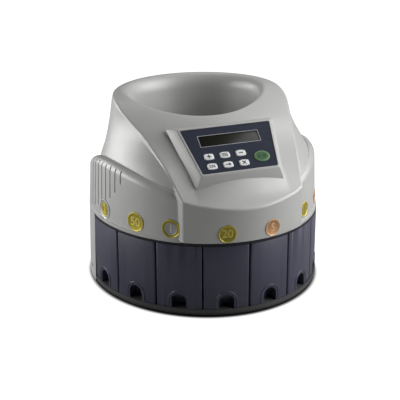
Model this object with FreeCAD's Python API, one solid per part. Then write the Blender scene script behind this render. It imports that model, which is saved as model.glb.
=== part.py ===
"""Motorised coin sorter with eight coin drawers.

Millimetres, +Z up, front along -Y. The origin is on the table surface, on the axis of the sorting disc.
Around the machine a station angle is measured from the front (-Y) towards the right (+X).
"""
import FreeCAD, Part
import math
import os

V = FreeCAD.Vector

# ---------------------------------------------------------------- overall sizes
WIDTH = 330.0                 # left to right, over the base plate
DEPTH = 355.0                 # front of the hood to the rear socket panel
HEIGHT = 266.0                # table to the rear rim of the hopper
HOOD_PROUD = 1.5              # front of the hood beyond the base plate

# ---------------------------------------------------------------- base and feet
FOOT_HEIGHT = 3.0
FOOT_RADIUS = 11.0
FOOT_RECESS = 1.0
FOOT_RING = 132.0             # feet stand on this radius
BASE_THICKNESS = 8.0
BASE_TOE_IN = 1.5             # lower edge of the base plate set in
BASE_TOE_HEIGHT = 3.0
FACE_GAP = 0.3                # clearance between faces that slide past each other

# ---------------------------------------------------------------- drawers
DRAWERS = 8
DRAWER_STEP = 180.0 / DRAWERS
DRAWER_INSET = 1.3            # drawer front behind the edge of the base plate
DRAWER_GAP = 1.6              # between two neighbouring drawers
DRAWER_WALL = 2.2
DRAWER_TRAVEL_ROOM = 1.0      # drawer top to the deck above
DRAWER_CORNER = 2.5
FINGER_WIDTH = 21.0
FINGER_HEIGHT = 21.0
FINGER_DEPTH = 14.0
OUTLINE_OFFSET = 4.0          # raised arch around the finger recess
OUTLINE_WIDTH = 1.2
OUTLINE_PROUD = 0.5
GUIDE_WIDTH = 1.0             # strips on the base plate between the drawers
GUIDE_HEIGHT = 7.0
GUIDE_FRONT_INSET = 12.0
GUIDE_REAR_GAP = 4.0

# ---------------------------------------------------------------- inner frame, deck and sorting works
CORE_RADIUS = 84.0            # round wall behind the drawers
CORE_WALL = 2.0
WING_THICKNESS = 2.0
DECK_BOTTOM = 103.5
DECK_THICKNESS = 2.5
DECK_INSET = 1.5
DECK_REAR_INSET = 6.0
COIN_RING = 124.0             # radius of the deck's holes and of the disc's pockets
COIN_PLAY = 0.8
POCKETS = 14
POCKET_DIAMETER = 27.5
DISC_RADIUS = 139.0
DISC_THICKNESS = 3.2
DISC_LIFT = 0.8
CONE_RADIUS = 58.0
CONE_HEIGHT = 16.0
RAIL_GAP = 0.8
RAIL_WIDTH = 5.0
RAIL_HEIGHT = 9.0
SENSOR_SIZE = (12.0, 7.0, 8.0)

# ---------------------------------------------------------------- posts and screws
FRAME_POST_INSET = 6.0        # post centres inside the frame's round wall
FRAME_POST_RADIUS = 5.0
CASING_WALL = 3.0
CASING_POST_INSET = 8.5
CASING_POST_RADIUS = 6.0
COVER_POST_INSET = 10.0
COVER_POST_RADIUS = 4.5
COVER_POST_TOP = 150.0
SCREW_RADIUS = 1.5
SCREW_BORE = 1.6              # radius of the bores that the screws cut their thread in
SCREW_CLEARANCE = 1.8         # radius of the holes that the screws pass
SCREW_BORE_DEPTH = 14.0
HEAD_HEIGHT = 1.8
HEAD_ROOM = 3.5               # radius of the recess round a screw's head
HEAD_SINK = 0.3               # free face of a head behind the base plate's underside
DECK_RECESS = 1.5             # depth of the recesses in the deck
BASE_SCREW_LENGTH = 17.0
DECK_SCREW_LENGTH = 10.0
COVER_SCREW_LENGTH = 14.0

# ---------------------------------------------------------------- drive
SHAFT_RADIUS = 5.0
SHAFT_FIT = 0.04
BUSH_WALL = 3.0
BUSH_FLANGE = 3.0
BEARING_PLATE_Z = 70.0
BEARING_PLATE_THICKNESS = 3.0
POST_RADIUS = 4.0
POST_X = 46.0
POST_Y = 26.0
GEAR_MODULE = 1.5
WHEEL_TEETH = 48
PINION_TEETH = 16
GEAR_BACKLASH = 0.7
GEAR_Z = 82.0
GEAR_WIDTH = 8.0
MOTOR_RADIUS = 20.0
MOTOR_LENGTH = 46.0
MOTOR_SHAFT_RADIUS = 3.0
GEARBOX_LENGTH = 16.0
MOTOR_LUG = (3.0, 0.8, 5.0)   # width, thickness and length of a terminal lug
MOTOR_LUG_X = 5.0
PLATE_MARGIN = 8.0            # bearing plate beyond its posts
HUB_RADIUS = 10.0
HUB_HEIGHT = 3.0
SPOKE_HOLES = 5
SPOKE_HOLE_RADIUS = 6.0
SPOKE_HOLE_RING = 21.0

# ---------------------------------------------------------------- upper cover
COVER_WALL = 3.0
SEAM = 0.3                    # hairline between the rear casing and the cover
FLANGE_INSET = 2.0
FLANGE_HEIGHT = 4.0
WALL_BOTTOM_INSET = 3.6
WALL_TOP_INSET = 7.2
WALL_TOP_DROP = 60.0          # where the wall's taper would end, below the hopper's rim
SHOULDER_PEAK_Y = -58.0
SHOULDER_DROP = 69.0          # peak of the side walls' shoulder, below the hopper's rim
SHOULDER_FALL_FRONT = 0.33
SHOULDER_FALL_REAR = 0.21
HOOD_HALF_ANGLE = 31.5
HOOD_BOTTOM_RISE = 2.0        # hood's lower edge above the wall's flange
CREASE_DROP = 112.0           # where the hood's front turns into its slope, below the hopper's rim
CREASE_SLOPE = 0.39
RIDGE_X = 118.0               # the hood's top skin falls to its ridges here
OPENING_X = 93.0              # half width of the hopper's mouth
OPENING_Y = 80.0
OPENING_CENTRE_Y = 28.0
BOWL_WALL = 2.5
BOWL_FIT = 0.4
THROAT_RADIUS = 72.0
THROAT_Z = 118.0
VENTS = 8
VENT_PITCH = 4.0
VENT_FIRST = 61.5
VENT_WIDTH = 1.5
VENT_FEET = (160.0, 146.0, 132.0, 126.0, 120.0, 112.5, 112.5, 112.5)
VENT_CREST_DROP = 7.0

# ---------------------------------------------------------------- console
CONSOLE_TILT = 38.3
CONSOLE_BACK = 36.8           # lower edge of the keypad sheet behind the hood's front
CONSOLE_DROP = 71.2           # and below the hopper's rim
SHEET_TOP_HALF = 65.5
SHEET_BOTTOM_HALF = 54.0
SHEET_LENGTH = 72.6
SHEET_THICKNESS = 0.8
SHEET_CORNER = 3.0
BEZEL_EDGE = 2.5
BEZEL_PLATE = 3.0
BEZEL_WALL = 3.0
BEZEL_FOOT_TOP = (78.5, 83.7, -9.4)       # half width, distance up the slope, height
BEZEL_FOOT_BOTTOM = (62.7, -12.3, -13.8)
BEZEL_SINK = 1.5              # how far the skirt is drawn on below its foot line
KEY_LENGTH = 14.0
KEY_HEIGHT = 9.6
KEY_CORNER = 2.6
KEY_PROUD = 1.0
KEY_PLAY = 0.3
KEY_FLANGE = 1.2
KEY_TRAVEL = 0.8
KEY_COLUMNS = (-37.5, -14.6, 8.4)
KEY_ROWS = (26.6, 11.0)
START_X = 36.3
START_UP = 17.8
START_LENGTH = 23.0
START_HEIGHT = 17.0
LCD_UP = 51.7
LCD_LENGTH = 86.0
LCD_HEIGHT = 17.0
LCD_DEPTH = 4.0
LCD_BOARD_MARGIN = 6.0
WINDOW_THICKNESS = 1.5
STEM_RADIUS = 1.8
STEM_LENGTH = 2.0
CAP_ROUND = 0.5
SWITCH_GAP = 0.2              # pressed key to its switch
KEY_SWITCH = (6.0, 1.6)       # side and height of a key's switch
BOARD_THICKNESS = 1.6
KEY_BOARD_X = (-50.5, 53.5)
KEY_BOARD_UP = (3.0, 34.5)
STANDOFF_RADIUS = 1.4
STANDOFF_INSET = 2.0

# ---------------------------------------------------------------- coins shown above the drawers
COIN_DIAMETERS = (25.75, 24.25, 23.25, 22.25, 21.25, 19.75, 18.75, 16.25)
EMBLEM_SCALE = 1.1
EMBLEM_THICKNESS = 2.0
EMBLEM_PROUD = 0.8
EMBLEM_SIDE_Z = 124.0
EMBLEM_HOOD_Z = 121.0
EMBLEM_CORNER_SHIFT = 3.75    # third and sixth coins moved clear of the hood's corner

# ---------------------------------------------------------------- rear socket panel
PANEL_HALF_WIDTH = 36.0
PANEL_BOTTOM = 28.0
PANEL_TOP = 66.0
PANEL_THICKNESS = 3.0
INLET_X = 15.0
INLET_WIDTH = 27.0
INLET_HEIGHT = 20.0
INLET_DEPTH = 24.0
SWITCH_X = -17.0
SWITCH_WIDTH = 15.0
SWITCH_HEIGHT = 21.0
SWITCH_DEPTH = 18.0
SWITCH_WALL = 1.2
ROCKER_SWING = 12.0
ROCKER_SINK = 1.4             # rocker's middle behind the socket panel
PIVOT_DEPTH = 4.5             # pivot behind the rocker's middle
PIVOT_RADIUS = 1.5
PIVOT_REACH = 1.0             # pivot pin beyond each side of the rocker

# ---------------------------------------------------------------- transformer and controller
TRANSFORMER_X = -94.0
TRANSFORMER_Y = 71.0
CORE_SIZE = (48.0, 42.0, 40.0)
COIL_SIZE = (30.0, 58.0, 28.0)
BOARD_X = 10.0
BOARD_Y = 114.0
BOARD_SIZE = (130.0, 52.0)
BOARD_LIFT = 12.0
BOARD_POST = 3.0
BOARD_POST_INSET = 5.0
BOARD_BLOCKS = ((-20.0, 110.0, 20.0, 20.0, 5.0), (31.0, 99.0, 22.0, 8.0, 9.0), (58.0, 120.0, 16.0, 20.0, 14.0))

# ---------------------------------------------------------------- values that follow
BASE_A = WIDTH / 2.0
BASE_B = DEPTH / 2.0 - HOOD_PROUD
HOOD_A = BASE_A + HOOD_PROUD
HOOD_B = BASE_B + HOOD_PROUD
BASE_TOP = FOOT_HEIGHT + BASE_THICKNESS
DECK_TOP = DECK_BOTTOM + DECK_THICKNESS
COVER_BOTTOM = DECK_TOP
DRAWER_BOTTOM = BASE_TOP + FACE_GAP
DRAWER_TOP = DECK_BOTTOM - DRAWER_TRAVEL_ROOM
DRAWER_BACK = CORE_RADIUS + 1.0
GEAR_CENTRES = GEAR_MODULE * (WHEEL_TEETH + PINION_TEETH) / 2.0
DISC_Z = DECK_TOP + DISC_LIFT
REAR_Y = DEPTH / 2.0
WALL_TOP_Z = HEIGHT - WALL_TOP_DROP
SHOULDER_PEAK_Z = HEIGHT - SHOULDER_DROP
CREASE_Z = HEIGHT - CREASE_DROP
CONSOLE_Y = CONSOLE_BACK - HOOD_B
CONSOLE_Z = HEIGHT - CONSOLE_DROP


# ---------------------------------------------------------------- small makers
def save(name, shape):
    """Write one node."""
    shape.exportStep("parts/%s.step" % name)


def box(x1, x2, y1, y2, z1, z2):
    return Part.makeBox(x2 - x1, y2 - y1, z2 - z1, V(x1, y1, z1))


def block_at(x, y, size, z):
    """Box of the given size that stands at a height, centred over a place."""
    return Part.makeBox(size[0], size[1], size[2], V(x - size[0] / 2, y - size[1] / 2, z))


def rod(radius, z1, z2, x=0.0, y=0.0):
    return Part.makeCylinder(radius, z2 - z1, V(x, y, z1))


def tube(outer, inner, z1, z2, x=0.0, y=0.0):
    return rod(outer, z1, z2, x, y).cut(rod(inner, z1 - 1, z2 + 1, x, y))


def oval_wire(a, b, z, y=0.0):
    """Ellipse with half width a along X and half depth b along Y."""
    if b >= a:
        curve = Part.Ellipse(V(0, y + b, z), V(a, y, z), V(0, y, z))
    else:
        curve = Part.Ellipse(V(a, y, z), V(0, y + b, z), V(0, y, z))
    return Part.Wire([curve.toShape()])


def oval_block(inset, z1, z2):
    """Upright oval block, set in from the outline of the base plate."""
    face = Part.Face(oval_wire(BASE_A - inset, BASE_B - inset, z1))
    return face.extrude(V(0, 0, z2 - z1))


def oval_taper(inset_1, z1, inset_2, z2):
    """Oval block whose inset changes from its foot to its top."""
    foot = oval_wire(BASE_A - inset_1, BASE_B - inset_1, z1)
    top = oval_wire(BASE_A - inset_2, BASE_B - inset_2, z2)
    return Part.makeLoft([foot, top], True, True)


def oval_point(angle, inset=0.0):
    """Point of the base plate's outline at a station angle."""
    t = math.radians(angle)
    return V((BASE_A - inset) * math.sin(t), -(BASE_B - inset) * math.cos(t), 0)


def prism(points, z1, z2):
    """Upright prism over a plan outline."""
    corners = [V(x, y, z1) for x, y in points]
    return Part.Face(Part.makePolygon(corners + corners[:1])).extrude(V(0, 0, z2 - z1))


def heading(angle):
    """Unit direction from the axis to the oval at a station angle."""
    p = oval_point(angle)
    return p.normalize()


def turn_to(shape, direction):
    """Turn a shape built facing -Y so that it faces the given direction."""
    angle = math.degrees(math.atan2(direction.x, -direction.y))
    turned = shape.copy()
    turned.rotate(V(0, 0, 0), V(0, 0, 1), angle)
    return turned


def rounded_plate(length, height, corner, z1, z2):
    """Flat plate with rounded corners, centred on the local origin."""
    block = box(-length / 2, length / 2, -height / 2, height / 2, z1, z2)
    upright = [e for e in block.Edges if abs(e.Vertexes[0].Z - e.Vertexes[1].Z) > 0.1]
    return block.makeFillet(corner, upright)


def group(solids):
    return Part.makeCompound(solids)


# ---------------------------------------------------------------- base
def foot_places():
    return [heading(a) * FOOT_RING for a in (-45, 45, 135, -135)]


def screw(x, y, head_z, length, up=True):
    """Pan-head screw: the head's free face is at head_z and the shank points up or down."""
    head = Part.makeCylinder(SCREW_RADIUS * 2, HEAD_HEIGHT, V(x, y, head_z))
    shank = Part.makeCylinder(SCREW_RADIUS, length, V(x, y, head_z + HEAD_HEIGHT))
    solid = head.fuse(shank)
    if not up:
        solid.rotate(V(x, y, head_z), V(1, 0, 0), 180)
    return solid


def frame_screw_places():
    """Screws that join the base plate, the inner frame and the deck."""
    return [heading(a) * (CORE_RADIUS - FRAME_POST_INSET) for a in (-60, 0, 60)]


def casing_screw_places():
    return [oval_point(a, CASING_POST_INSET) for a in (112, 150, -150, -112)]


def base_plate():
    toe = FOOT_HEIGHT + BASE_TOE_HEIGHT
    plate = oval_block(0, toe, BASE_TOP).fuse(oval_taper(BASE_TOE_IN, FOOT_HEIGHT, BASE_TOE_IN * 0.5, toe))
    rear = box(-WIDTH, WIDTH, 0, DEPTH, 0, HEIGHT)
    tray = oval_block(CASING_WALL + FACE_GAP, FOOT_HEIGHT, BASE_TOP)
    plate = plate.cut(rear).fuse(tray.common(rear)).removeSplitter()
    for p in foot_places():
        plate = plate.cut(rod(FOOT_RADIUS, 0, FOOT_HEIGHT + FOOT_RECESS, p.x, p.y))
    for p in frame_screw_places() + casing_screw_places():
        plate = plate.cut(rod(SCREW_CLEARANCE, 0, BASE_TOP + 1, p.x, p.y))
        plate = plate.cut(rod(HEAD_ROOM, 0, FOOT_HEIGHT + HEAD_SINK + HEAD_HEIGHT, p.x, p.y))
    return plate


def drawer_guides():
    """Strips on the base plate that lead the drawers' sides."""
    half = GUIDE_WIDTH / 2
    front = GUIDE_FRONT_INSET - BASE_B
    strip = box(-half, half, front, -DRAWER_BACK - GUIDE_REAR_GAP, BASE_TOP, BASE_TOP + GUIDE_HEIGHT)
    return group([turn_to(strip, heading(-90 + i * DRAWER_STEP)) for i in range(1, DRAWERS)])


def rubber_feet():
    feet = []
    for p in foot_places():
        foot = rod(FOOT_RADIUS - 0.1, 0, FOOT_HEIGHT + FOOT_RECESS, p.x, p.y)
        feet.append(foot.makeChamfer(0.6, [foot.Edges[2]]) if foot.Edges[2].BoundBox.ZMax < 0.1 else foot)
    return group(feet)


# ---------------------------------------------------------------- drawers
def drawer_mid(i):
    return heading(-90 + (i + 0.5) * DRAWER_STEP)


def drawer_wedge(i, spare, reach=300.0):
    """Plan wedge of one drawer bay, with each side moved in by `spare`."""
    left = heading(-90 + i * DRAWER_STEP)
    right = heading(-90 + (i + 1) * DRAWER_STEP)
    half = left.getAngle(right) / 2.0
    apex = drawer_mid(i) * (spare / math.sin(half))
    far_left = apex + left * reach
    far_right = apex + right * reach
    return prism([(apex.x, apex.y), (far_left.x, far_left.y), (far_right.x, far_right.y)], 0, HEIGHT)


def drawer_block(i, grow, z1, z2):
    """Solid wedge of a drawer with all sides set in by `grow`."""
    block = oval_block(DRAWER_INSET + grow, z1, z2).cut(rod(DRAWER_BACK + grow, z1 - 1, z2 + 1))
    return block.common(drawer_wedge(i, DRAWER_GAP / 2 + grow))


def arch(width, top, y1, y2, z1):
    """Round-topped doorway shape that runs from y1 to y2."""
    radius = width / 2.0
    doorway = box(-radius, radius, y1, y2, z1, top - radius)
    crown = Part.makeCylinder(radius, y2 - y1, V(0, y1, top - radius), V(0, 1, 0))
    return doorway.fuse(crown)


def drawer(i):
    mid = drawer_mid(i)
    face = oval_point(-90 + (i + 0.5) * DRAWER_STEP, DRAWER_INSET).Length
    block = drawer_block(i, 0, DRAWER_BOTTOM, DRAWER_TOP)
    outer = [e for e in block.Edges if e.BoundBox.ZLength > 50 and e.CenterOfMass.Length > 150
             and e.BoundBox.DiagonalLength < DRAWER_TOP + 1]
    block = block.makeFillet(DRAWER_CORNER, outer)
    tub = block.cut(drawer_block(i, DRAWER_WALL, DRAWER_BOTTOM + DRAWER_WALL, HEIGHT))
    top = DRAWER_BOTTOM + FINGER_HEIGHT
    inner_y = FINGER_DEPTH - face
    outer_width = FINGER_WIDTH + 2 * DRAWER_WALL
    pocket = arch(outer_width, top + DRAWER_WALL, -face - 5, inner_y + DRAWER_WALL, DRAWER_BOTTOM)
    pocket = turn_to(pocket, mid)
    hole = turn_to(arch(FINGER_WIDTH, top, -face - 9, inner_y, 0), mid)
    edge = FINGER_WIDTH + 2 * OUTLINE_OFFSET
    inner_edge = edge - 2 * OUTLINE_WIDTH
    inner_top = top + OUTLINE_OFFSET - OUTLINE_WIDTH
    outline = arch(edge, top + OUTLINE_OFFSET, -face - 5, -face + 9, DRAWER_BOTTOM)
    outline = outline.cut(arch(inner_edge, inner_top, -face - 6, -face + 10, 0))
    skin = oval_block(DRAWER_INSET - OUTLINE_PROUD, DRAWER_BOTTOM, DRAWER_TOP)
    bead = turn_to(outline, mid).common(skin.cut(oval_block(DRAWER_INSET + 1, 0, HEIGHT)))
    return tub.fuse(pocket.common(block)).fuse(bead).cut(hole)


# ---------------------------------------------------------------- inner frame and deck
def inner_frame():
    """Round wall behind the drawers with two wings that reach the casing's front edges."""
    wall = tube(CORE_RADIUS, CORE_RADIUS - CORE_WALL, BASE_TOP, DECK_BOTTOM)
    wall = wall.common(box(-WIDTH, WIDTH, -DEPTH, WING_THICKNESS, 0, HEIGHT))
    frame = wall
    for side in (-1, 1):
        x1 = side * (CORE_RADIUS - CORE_WALL / 2)
        x2 = side * (BASE_A - FLANGE_INSET - CASING_WALL - FACE_GAP)
        frame = frame.fuse(box(min(x1, x2), max(x1, x2), 0, WING_THICKNESS, BASE_TOP, DECK_BOTTOM))
    for p in frame_screw_places():
        frame = frame.fuse(rod(FRAME_POST_RADIUS, BASE_TOP, DECK_BOTTOM, p.x, p.y))
    for p in frame_screw_places():
        frame = frame.cut(rod(SCREW_BORE, BASE_TOP - 1, BASE_TOP + SCREW_BORE_DEPTH, p.x, p.y))
        frame = frame.cut(rod(SCREW_BORE, DECK_BOTTOM - SCREW_BORE_DEPTH, DECK_BOTTOM + 1, p.x, p.y))
    return frame


def coin_hole(i):
    p = drawer_mid(i) * COIN_RING
    return rod((COIN_DIAMETERS[i] + COIN_PLAY) / 2, DECK_BOTTOM - 5, DECK_TOP + 5, p.x, p.y)


def sorting_deck():
    front = box(-WIDTH, WIDTH, -DEPTH, 0, 0, HEIGHT)
    deck = oval_block(DECK_INSET, DECK_BOTTOM, DECK_TOP).common(front)
    rear = oval_block(DECK_REAR_INSET, DECK_BOTTOM, DECK_TOP).cut(front)
    deck = deck.fuse(rear).removeSplitter()
    for i in range(DRAWERS):
        deck = deck.cut(coin_hole(i))
    deck = deck.fuse(rod(SHAFT_RADIUS + BUSH_WALL + 4, DECK_BOTTOM - 6, DECK_BOTTOM + 1))
    deck = deck.cut(rod(SHAFT_RADIUS + BUSH_WALL, DECK_BOTTOM - 10, DECK_TOP + 1))
    for x, y in deck_screw_places():
        deck = deck.cut(rod(SCREW_CLEARANCE, DECK_BOTTOM - 1, DECK_TOP + 1, x, y))
        deck = deck.cut(rod(HEAD_ROOM, DECK_TOP - DECK_RECESS, DECK_TOP + 1, x, y))
    for p in cover_post_places():
        deck = deck.cut(rod(SCREW_CLEARANCE, DECK_BOTTOM - 1, DECK_TOP + 1, p.x, p.y))
    return deck


def post_places():
    return [(x, y) for x in (-POST_X, POST_X) for y in (-POST_Y, POST_Y)]


def deck_screw_places():
    """Screws from the deck into the inner frame and into the bearing plate's posts."""
    return [(p.x, p.y) for p in frame_screw_places()] + post_places()


def coin_rail():
    """Fixed ring that keeps the coins in the disc's pockets."""
    inner = DISC_RADIUS + RAIL_GAP
    return tube(inner + RAIL_WIDTH, inner, DECK_TOP, DECK_TOP + RAIL_HEIGHT)


def coin_sensors():
    """One light barrier beside each hole, on the deck outside the rail."""
    length, width, height = SENSOR_SIZE
    start = DISC_RADIUS + RAIL_GAP + RAIL_WIDTH + 0.2
    block = box(-length / 2, length / 2, -start - width, -start, DECK_TOP, DECK_TOP + height)
    return group([turn_to(block, drawer_mid(i)) for i in range(DRAWERS)])


# ---------------------------------------------------------------- drive
def gear(teeth, bore, z1, phase):
    """Spur gear with straight-flanked teeth, thinned for backlash."""
    pitch = GEAR_MODULE * teeth / 2.0
    tip = pitch + GEAR_MODULE * 0.9
    root = pitch - GEAR_MODULE * 1.15
    half = (math.pi * GEAR_MODULE - GEAR_BACKLASH) / 4.0
    slope = math.tan(math.radians(20.0))
    points = []
    for k in range(teeth):
        centre = math.radians(phase) + 2 * math.pi * k / teeth
        flank = [(root, -1), (tip, -1), (tip, 1), (root, 1)]
        for radius, sign in flank:
            width = half - (radius - pitch) * slope
            angle = centre + sign * width / radius
            points.append((radius * math.cos(angle), radius * math.sin(angle)))
    return prism(points, z1, z1 + GEAR_WIDTH).cut(rod(bore, z1 - 1, z1 + GEAR_WIDTH + 1))


def drive_gear():
    wheel = gear(WHEEL_TEETH, SHAFT_RADIUS, GEAR_Z, 90.0)
    top = GEAR_Z + GEAR_WIDTH
    wheel = wheel.fuse(tube(HUB_RADIUS, SHAFT_RADIUS, top, top + HUB_HEIGHT))
    for k in range(SPOKE_HOLES):
        a = 2 * math.pi * k / SPOKE_HOLES
        x = SPOKE_HOLE_RING * math.cos(a)
        y = SPOKE_HOLE_RING * math.sin(a)
        wheel = wheel.cut(rod(SPOKE_HOLE_RADIUS, GEAR_Z - 1, top + 1, x, y))
    return wheel


def shaft_top():
    """End of the shaft, inside the cone."""
    return DISC_Z + DISC_THICKNESS + CONE_HEIGHT - 4


def drive_shaft():
    return rod(SHAFT_RADIUS, BEARING_PLATE_Z - 5, shaft_top())


def motor_pinion():
    wheel = gear(PINION_TEETH, MOTOR_SHAFT_RADIUS, GEAR_Z, -90.0 + 180.0 / PINION_TEETH)
    wheel.translate(V(0, GEAR_CENTRES, 0))
    return wheel


def motor_shaft():
    top = GEAR_Z + GEAR_WIDTH + 2
    return rod(MOTOR_SHAFT_RADIUS, BEARING_PLATE_Z - 1, top, 0, GEAR_CENTRES)


def gear_motor():
    """Motor can with its gearbox, hung under the bearing plate."""
    top = BEARING_PLATE_Z
    can = rod(MOTOR_RADIUS - 2, top - MOTOR_LENGTH, top - GEARBOX_LENGTH, 0, GEAR_CENTRES)
    gearbox = rod(MOTOR_RADIUS, top - GEARBOX_LENGTH, top, 0, GEAR_CENTRES)
    motor = can.fuse(gearbox).cut(rod(MOTOR_SHAFT_RADIUS + 0.5, top - 2, top + 1, 0, GEAR_CENTRES))
    width, thickness, length = MOTOR_LUG
    for side in (-1, 1):
        motor = motor.fuse(block_at(side * MOTOR_LUG_X, GEAR_CENTRES, (width, thickness, length + 1),
                                    top - MOTOR_LENGTH - length))
    return motor


def bearing_plate():
    """Steel plate on four posts under the deck; it carries the shaft's foot and the motor."""
    z1 = BEARING_PLATE_Z
    z2 = z1 + BEARING_PLATE_THICKNESS
    side = POST_X + PLATE_MARGIN
    plate = box(-side, side, -POST_Y - PLATE_MARGIN, GEAR_CENTRES + MOTOR_RADIUS + PLATE_MARGIN / 2, z1, z2)
    plate = plate.cut(rod(SHAFT_RADIUS + BUSH_WALL, z1 - 1, z2 + 1))
    plate = plate.cut(rod(MOTOR_SHAFT_RADIUS + 2, z1 - 1, z2 + 1, 0, GEAR_CENTRES))
    for x, y in post_places():
        plate = plate.fuse(rod(POST_RADIUS, z2 - 0.5, DECK_BOTTOM, x, y))
    for x, y in post_places():
        plate = plate.cut(rod(SCREW_BORE, DECK_BOTTOM - SCREW_BORE_DEPTH, DECK_BOTTOM + 1, x, y))
    return plate


def bush(z1, z2, flange_z):
    inner = SHAFT_RADIUS + SHAFT_FIT
    outer = SHAFT_RADIUS + BUSH_WALL
    return tube(outer, inner, z1, z2).fuse(tube(outer + BUSH_FLANGE, inner, flange_z, flange_z + 1.5))


def sorting_disc():
    """Disc with a ring of pockets that carry the coins over the deck's holes."""
    z2 = DISC_Z + DISC_THICKNESS
    disc = rod(DISC_RADIUS, DISC_Z, z2).cut(rod(SHAFT_RADIUS, DISC_Z - 1, z2 + 1))
    for k in range(POCKETS):
        a = 2 * math.pi * k / POCKETS
        x = COIN_RING * math.cos(a)
        y = COIN_RING * math.sin(a)
        disc = disc.cut(rod(POCKET_DIAMETER / 2, DISC_Z - 1, z2 + 1, x, y))
    return disc


def disc_cone():
    """Cone that sheds the coins from the middle of the disc."""
    z1 = DISC_Z + DISC_THICKNESS
    cone = Part.makeCone(CONE_RADIUS, SHAFT_RADIUS + 8, CONE_HEIGHT, V(0, 0, z1))
    return cone.cut(rod(SHAFT_RADIUS, z1 - 1, shaft_top()))


# ---------------------------------------------------------------- casing and cover
def rear_casing():
    """Grey skirt round the rear half, with the flat socket panel."""
    z1 = FOOT_HEIGHT + 0.5
    z2 = COVER_BOTTOM - SEAM
    rear = box(-WIDTH, WIDTH, 0, DEPTH, 0, HEIGHT)
    skirt = oval_taper(0, z1, FLANGE_INSET, z2).common(rear)
    panel = box(-PANEL_HALF_WIDTH, PANEL_HALF_WIDTH, REAR_Y - 14, REAR_Y, PANEL_BOTTOM, PANEL_TOP)
    corners = [e for e in panel.Edges if e.BoundBox.YLength > 10]
    panel = panel.makeFillet(4.0, corners)
    inside = oval_taper(CASING_WALL, z1 - 1, FLANGE_INSET + CASING_WALL, z2 + 1)
    hollow = box(-PANEL_HALF_WIDTH + 3, PANEL_HALF_WIDTH - 3, REAR_Y - 20, REAR_Y - PANEL_THICKNESS,
                 PANEL_BOTTOM + 3, PANEL_TOP - 3)
    casing = skirt.fuse(panel).cut(inside).cut(hollow)
    casing = casing.cut(socket_hole(INLET_X, INLET_WIDTH, INLET_HEIGHT))
    casing = casing.cut(socket_hole(SWITCH_X, SWITCH_WIDTH, SWITCH_HEIGHT))
    for p in casing_screw_places():
        post = rod(CASING_POST_RADIUS, BASE_TOP, DECK_BOTTOM, p.x, p.y)
        casing = casing.fuse(post).cut(rod(SCREW_BORE, BASE_TOP - 1, BASE_TOP + SCREW_BORE_DEPTH, p.x, p.y))
    return casing


def panel_middle():
    return (PANEL_BOTTOM + PANEL_TOP) / 2.0


def socket_hole(x, width, height):
    z = panel_middle()
    return box(x - width / 2, x + width / 2, REAR_Y - 12, REAR_Y + 1, z - height / 2, z + height / 2)


def crown_section(x, drop, spread):
    """Side-view section of all that lies under the hood's top skin; spread is 0 in the middle, 1 at a ridge.

    Each step gives a place, and the skin's depth below the hopper's rim in the middle and at a ridge.
    """
    ahead = 4.0
    rear = REAR_Y + 8
    foot = COVER_BOTTOM - 16
    brow = CREASE_DROP + ahead * CREASE_SLOPE
    slope = [(-ahead, brow, brow), (35.7, 90.5, 91.5), (57.5, 71.2, 70.7), (83.5, 48.4, 54.2),
             (108.5, 27.0, 39.2), (137.5, 14.0, 24.7)]
    rim = [(-12.0, 5.5, 10.0), (15.0, 0.9, 1.8), (45.0, 0.0, 0.0), (100.0, 0.5, 0.5), (rear, 3.0, 3.0)]
    steps = [(back - HOOD_B, low, side) for back, low, side in slope] + rim
    points = [V(x, y, HEIGHT - low + (low - side) * spread - drop) for y, low, side in steps]
    level = [low == 0.0 for y, low, side in steps]
    top = Part.BSplineCurve()
    top.interpolate(Points=points, Tangents=[V(0, 1, 0)] * len(points), TangentFlags=level)
    low_rear = V(x, rear, foot)
    low_front = V(x, points[0].y, foot)
    edges = [top.toShape(), Part.makeLine(points[-1], low_rear), Part.makeLine(low_rear, low_front),
             Part.makeLine(low_front, points[0])]
    return Part.Wire(edges)


def crown(drop):
    """Everything below the crowned top skin of the hood, lowered by `drop`."""
    far_x = 172.0
    far = (far_x / RIDGE_X) ** 2
    sections = [crown_section(-far_x, drop, far), crown_section(0, drop, 0.0), crown_section(far_x, drop, far)]
    return Part.makeLoft(sections, True, False)


def neck(inset):
    """Flared round body under the hopper: rings by their depth below its rim, their radius and their centre."""
    rings = [(116.0, 150.0, -13.5), (97.0, 152.0, -14.5), (85.0, 149.5, -14.0), (71.0, 143.5, -11.0),
             (54.0, 136.0, -2.5), (39.0, 130.5, 5.0), (23.0, 127.0, 8.0), (8.0, 125.5, 6.0), (-4.0, 123.5, 4.0)]
    wires = []
    for depth, radius, y in rings:
        circle = Part.Circle(V(0, y, HEIGHT - depth), V(0, 0, 1), radius - inset)
        wires.append(Part.Wire([circle.toShape()]))
    depth, radius, y = rings[0]
    foot = rod(radius - inset - 1.0, COVER_BOTTOM - 1, HEIGHT - depth + 1, 0, y)
    return Part.makeLoft(wires, True, True).fuse(foot)


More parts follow.
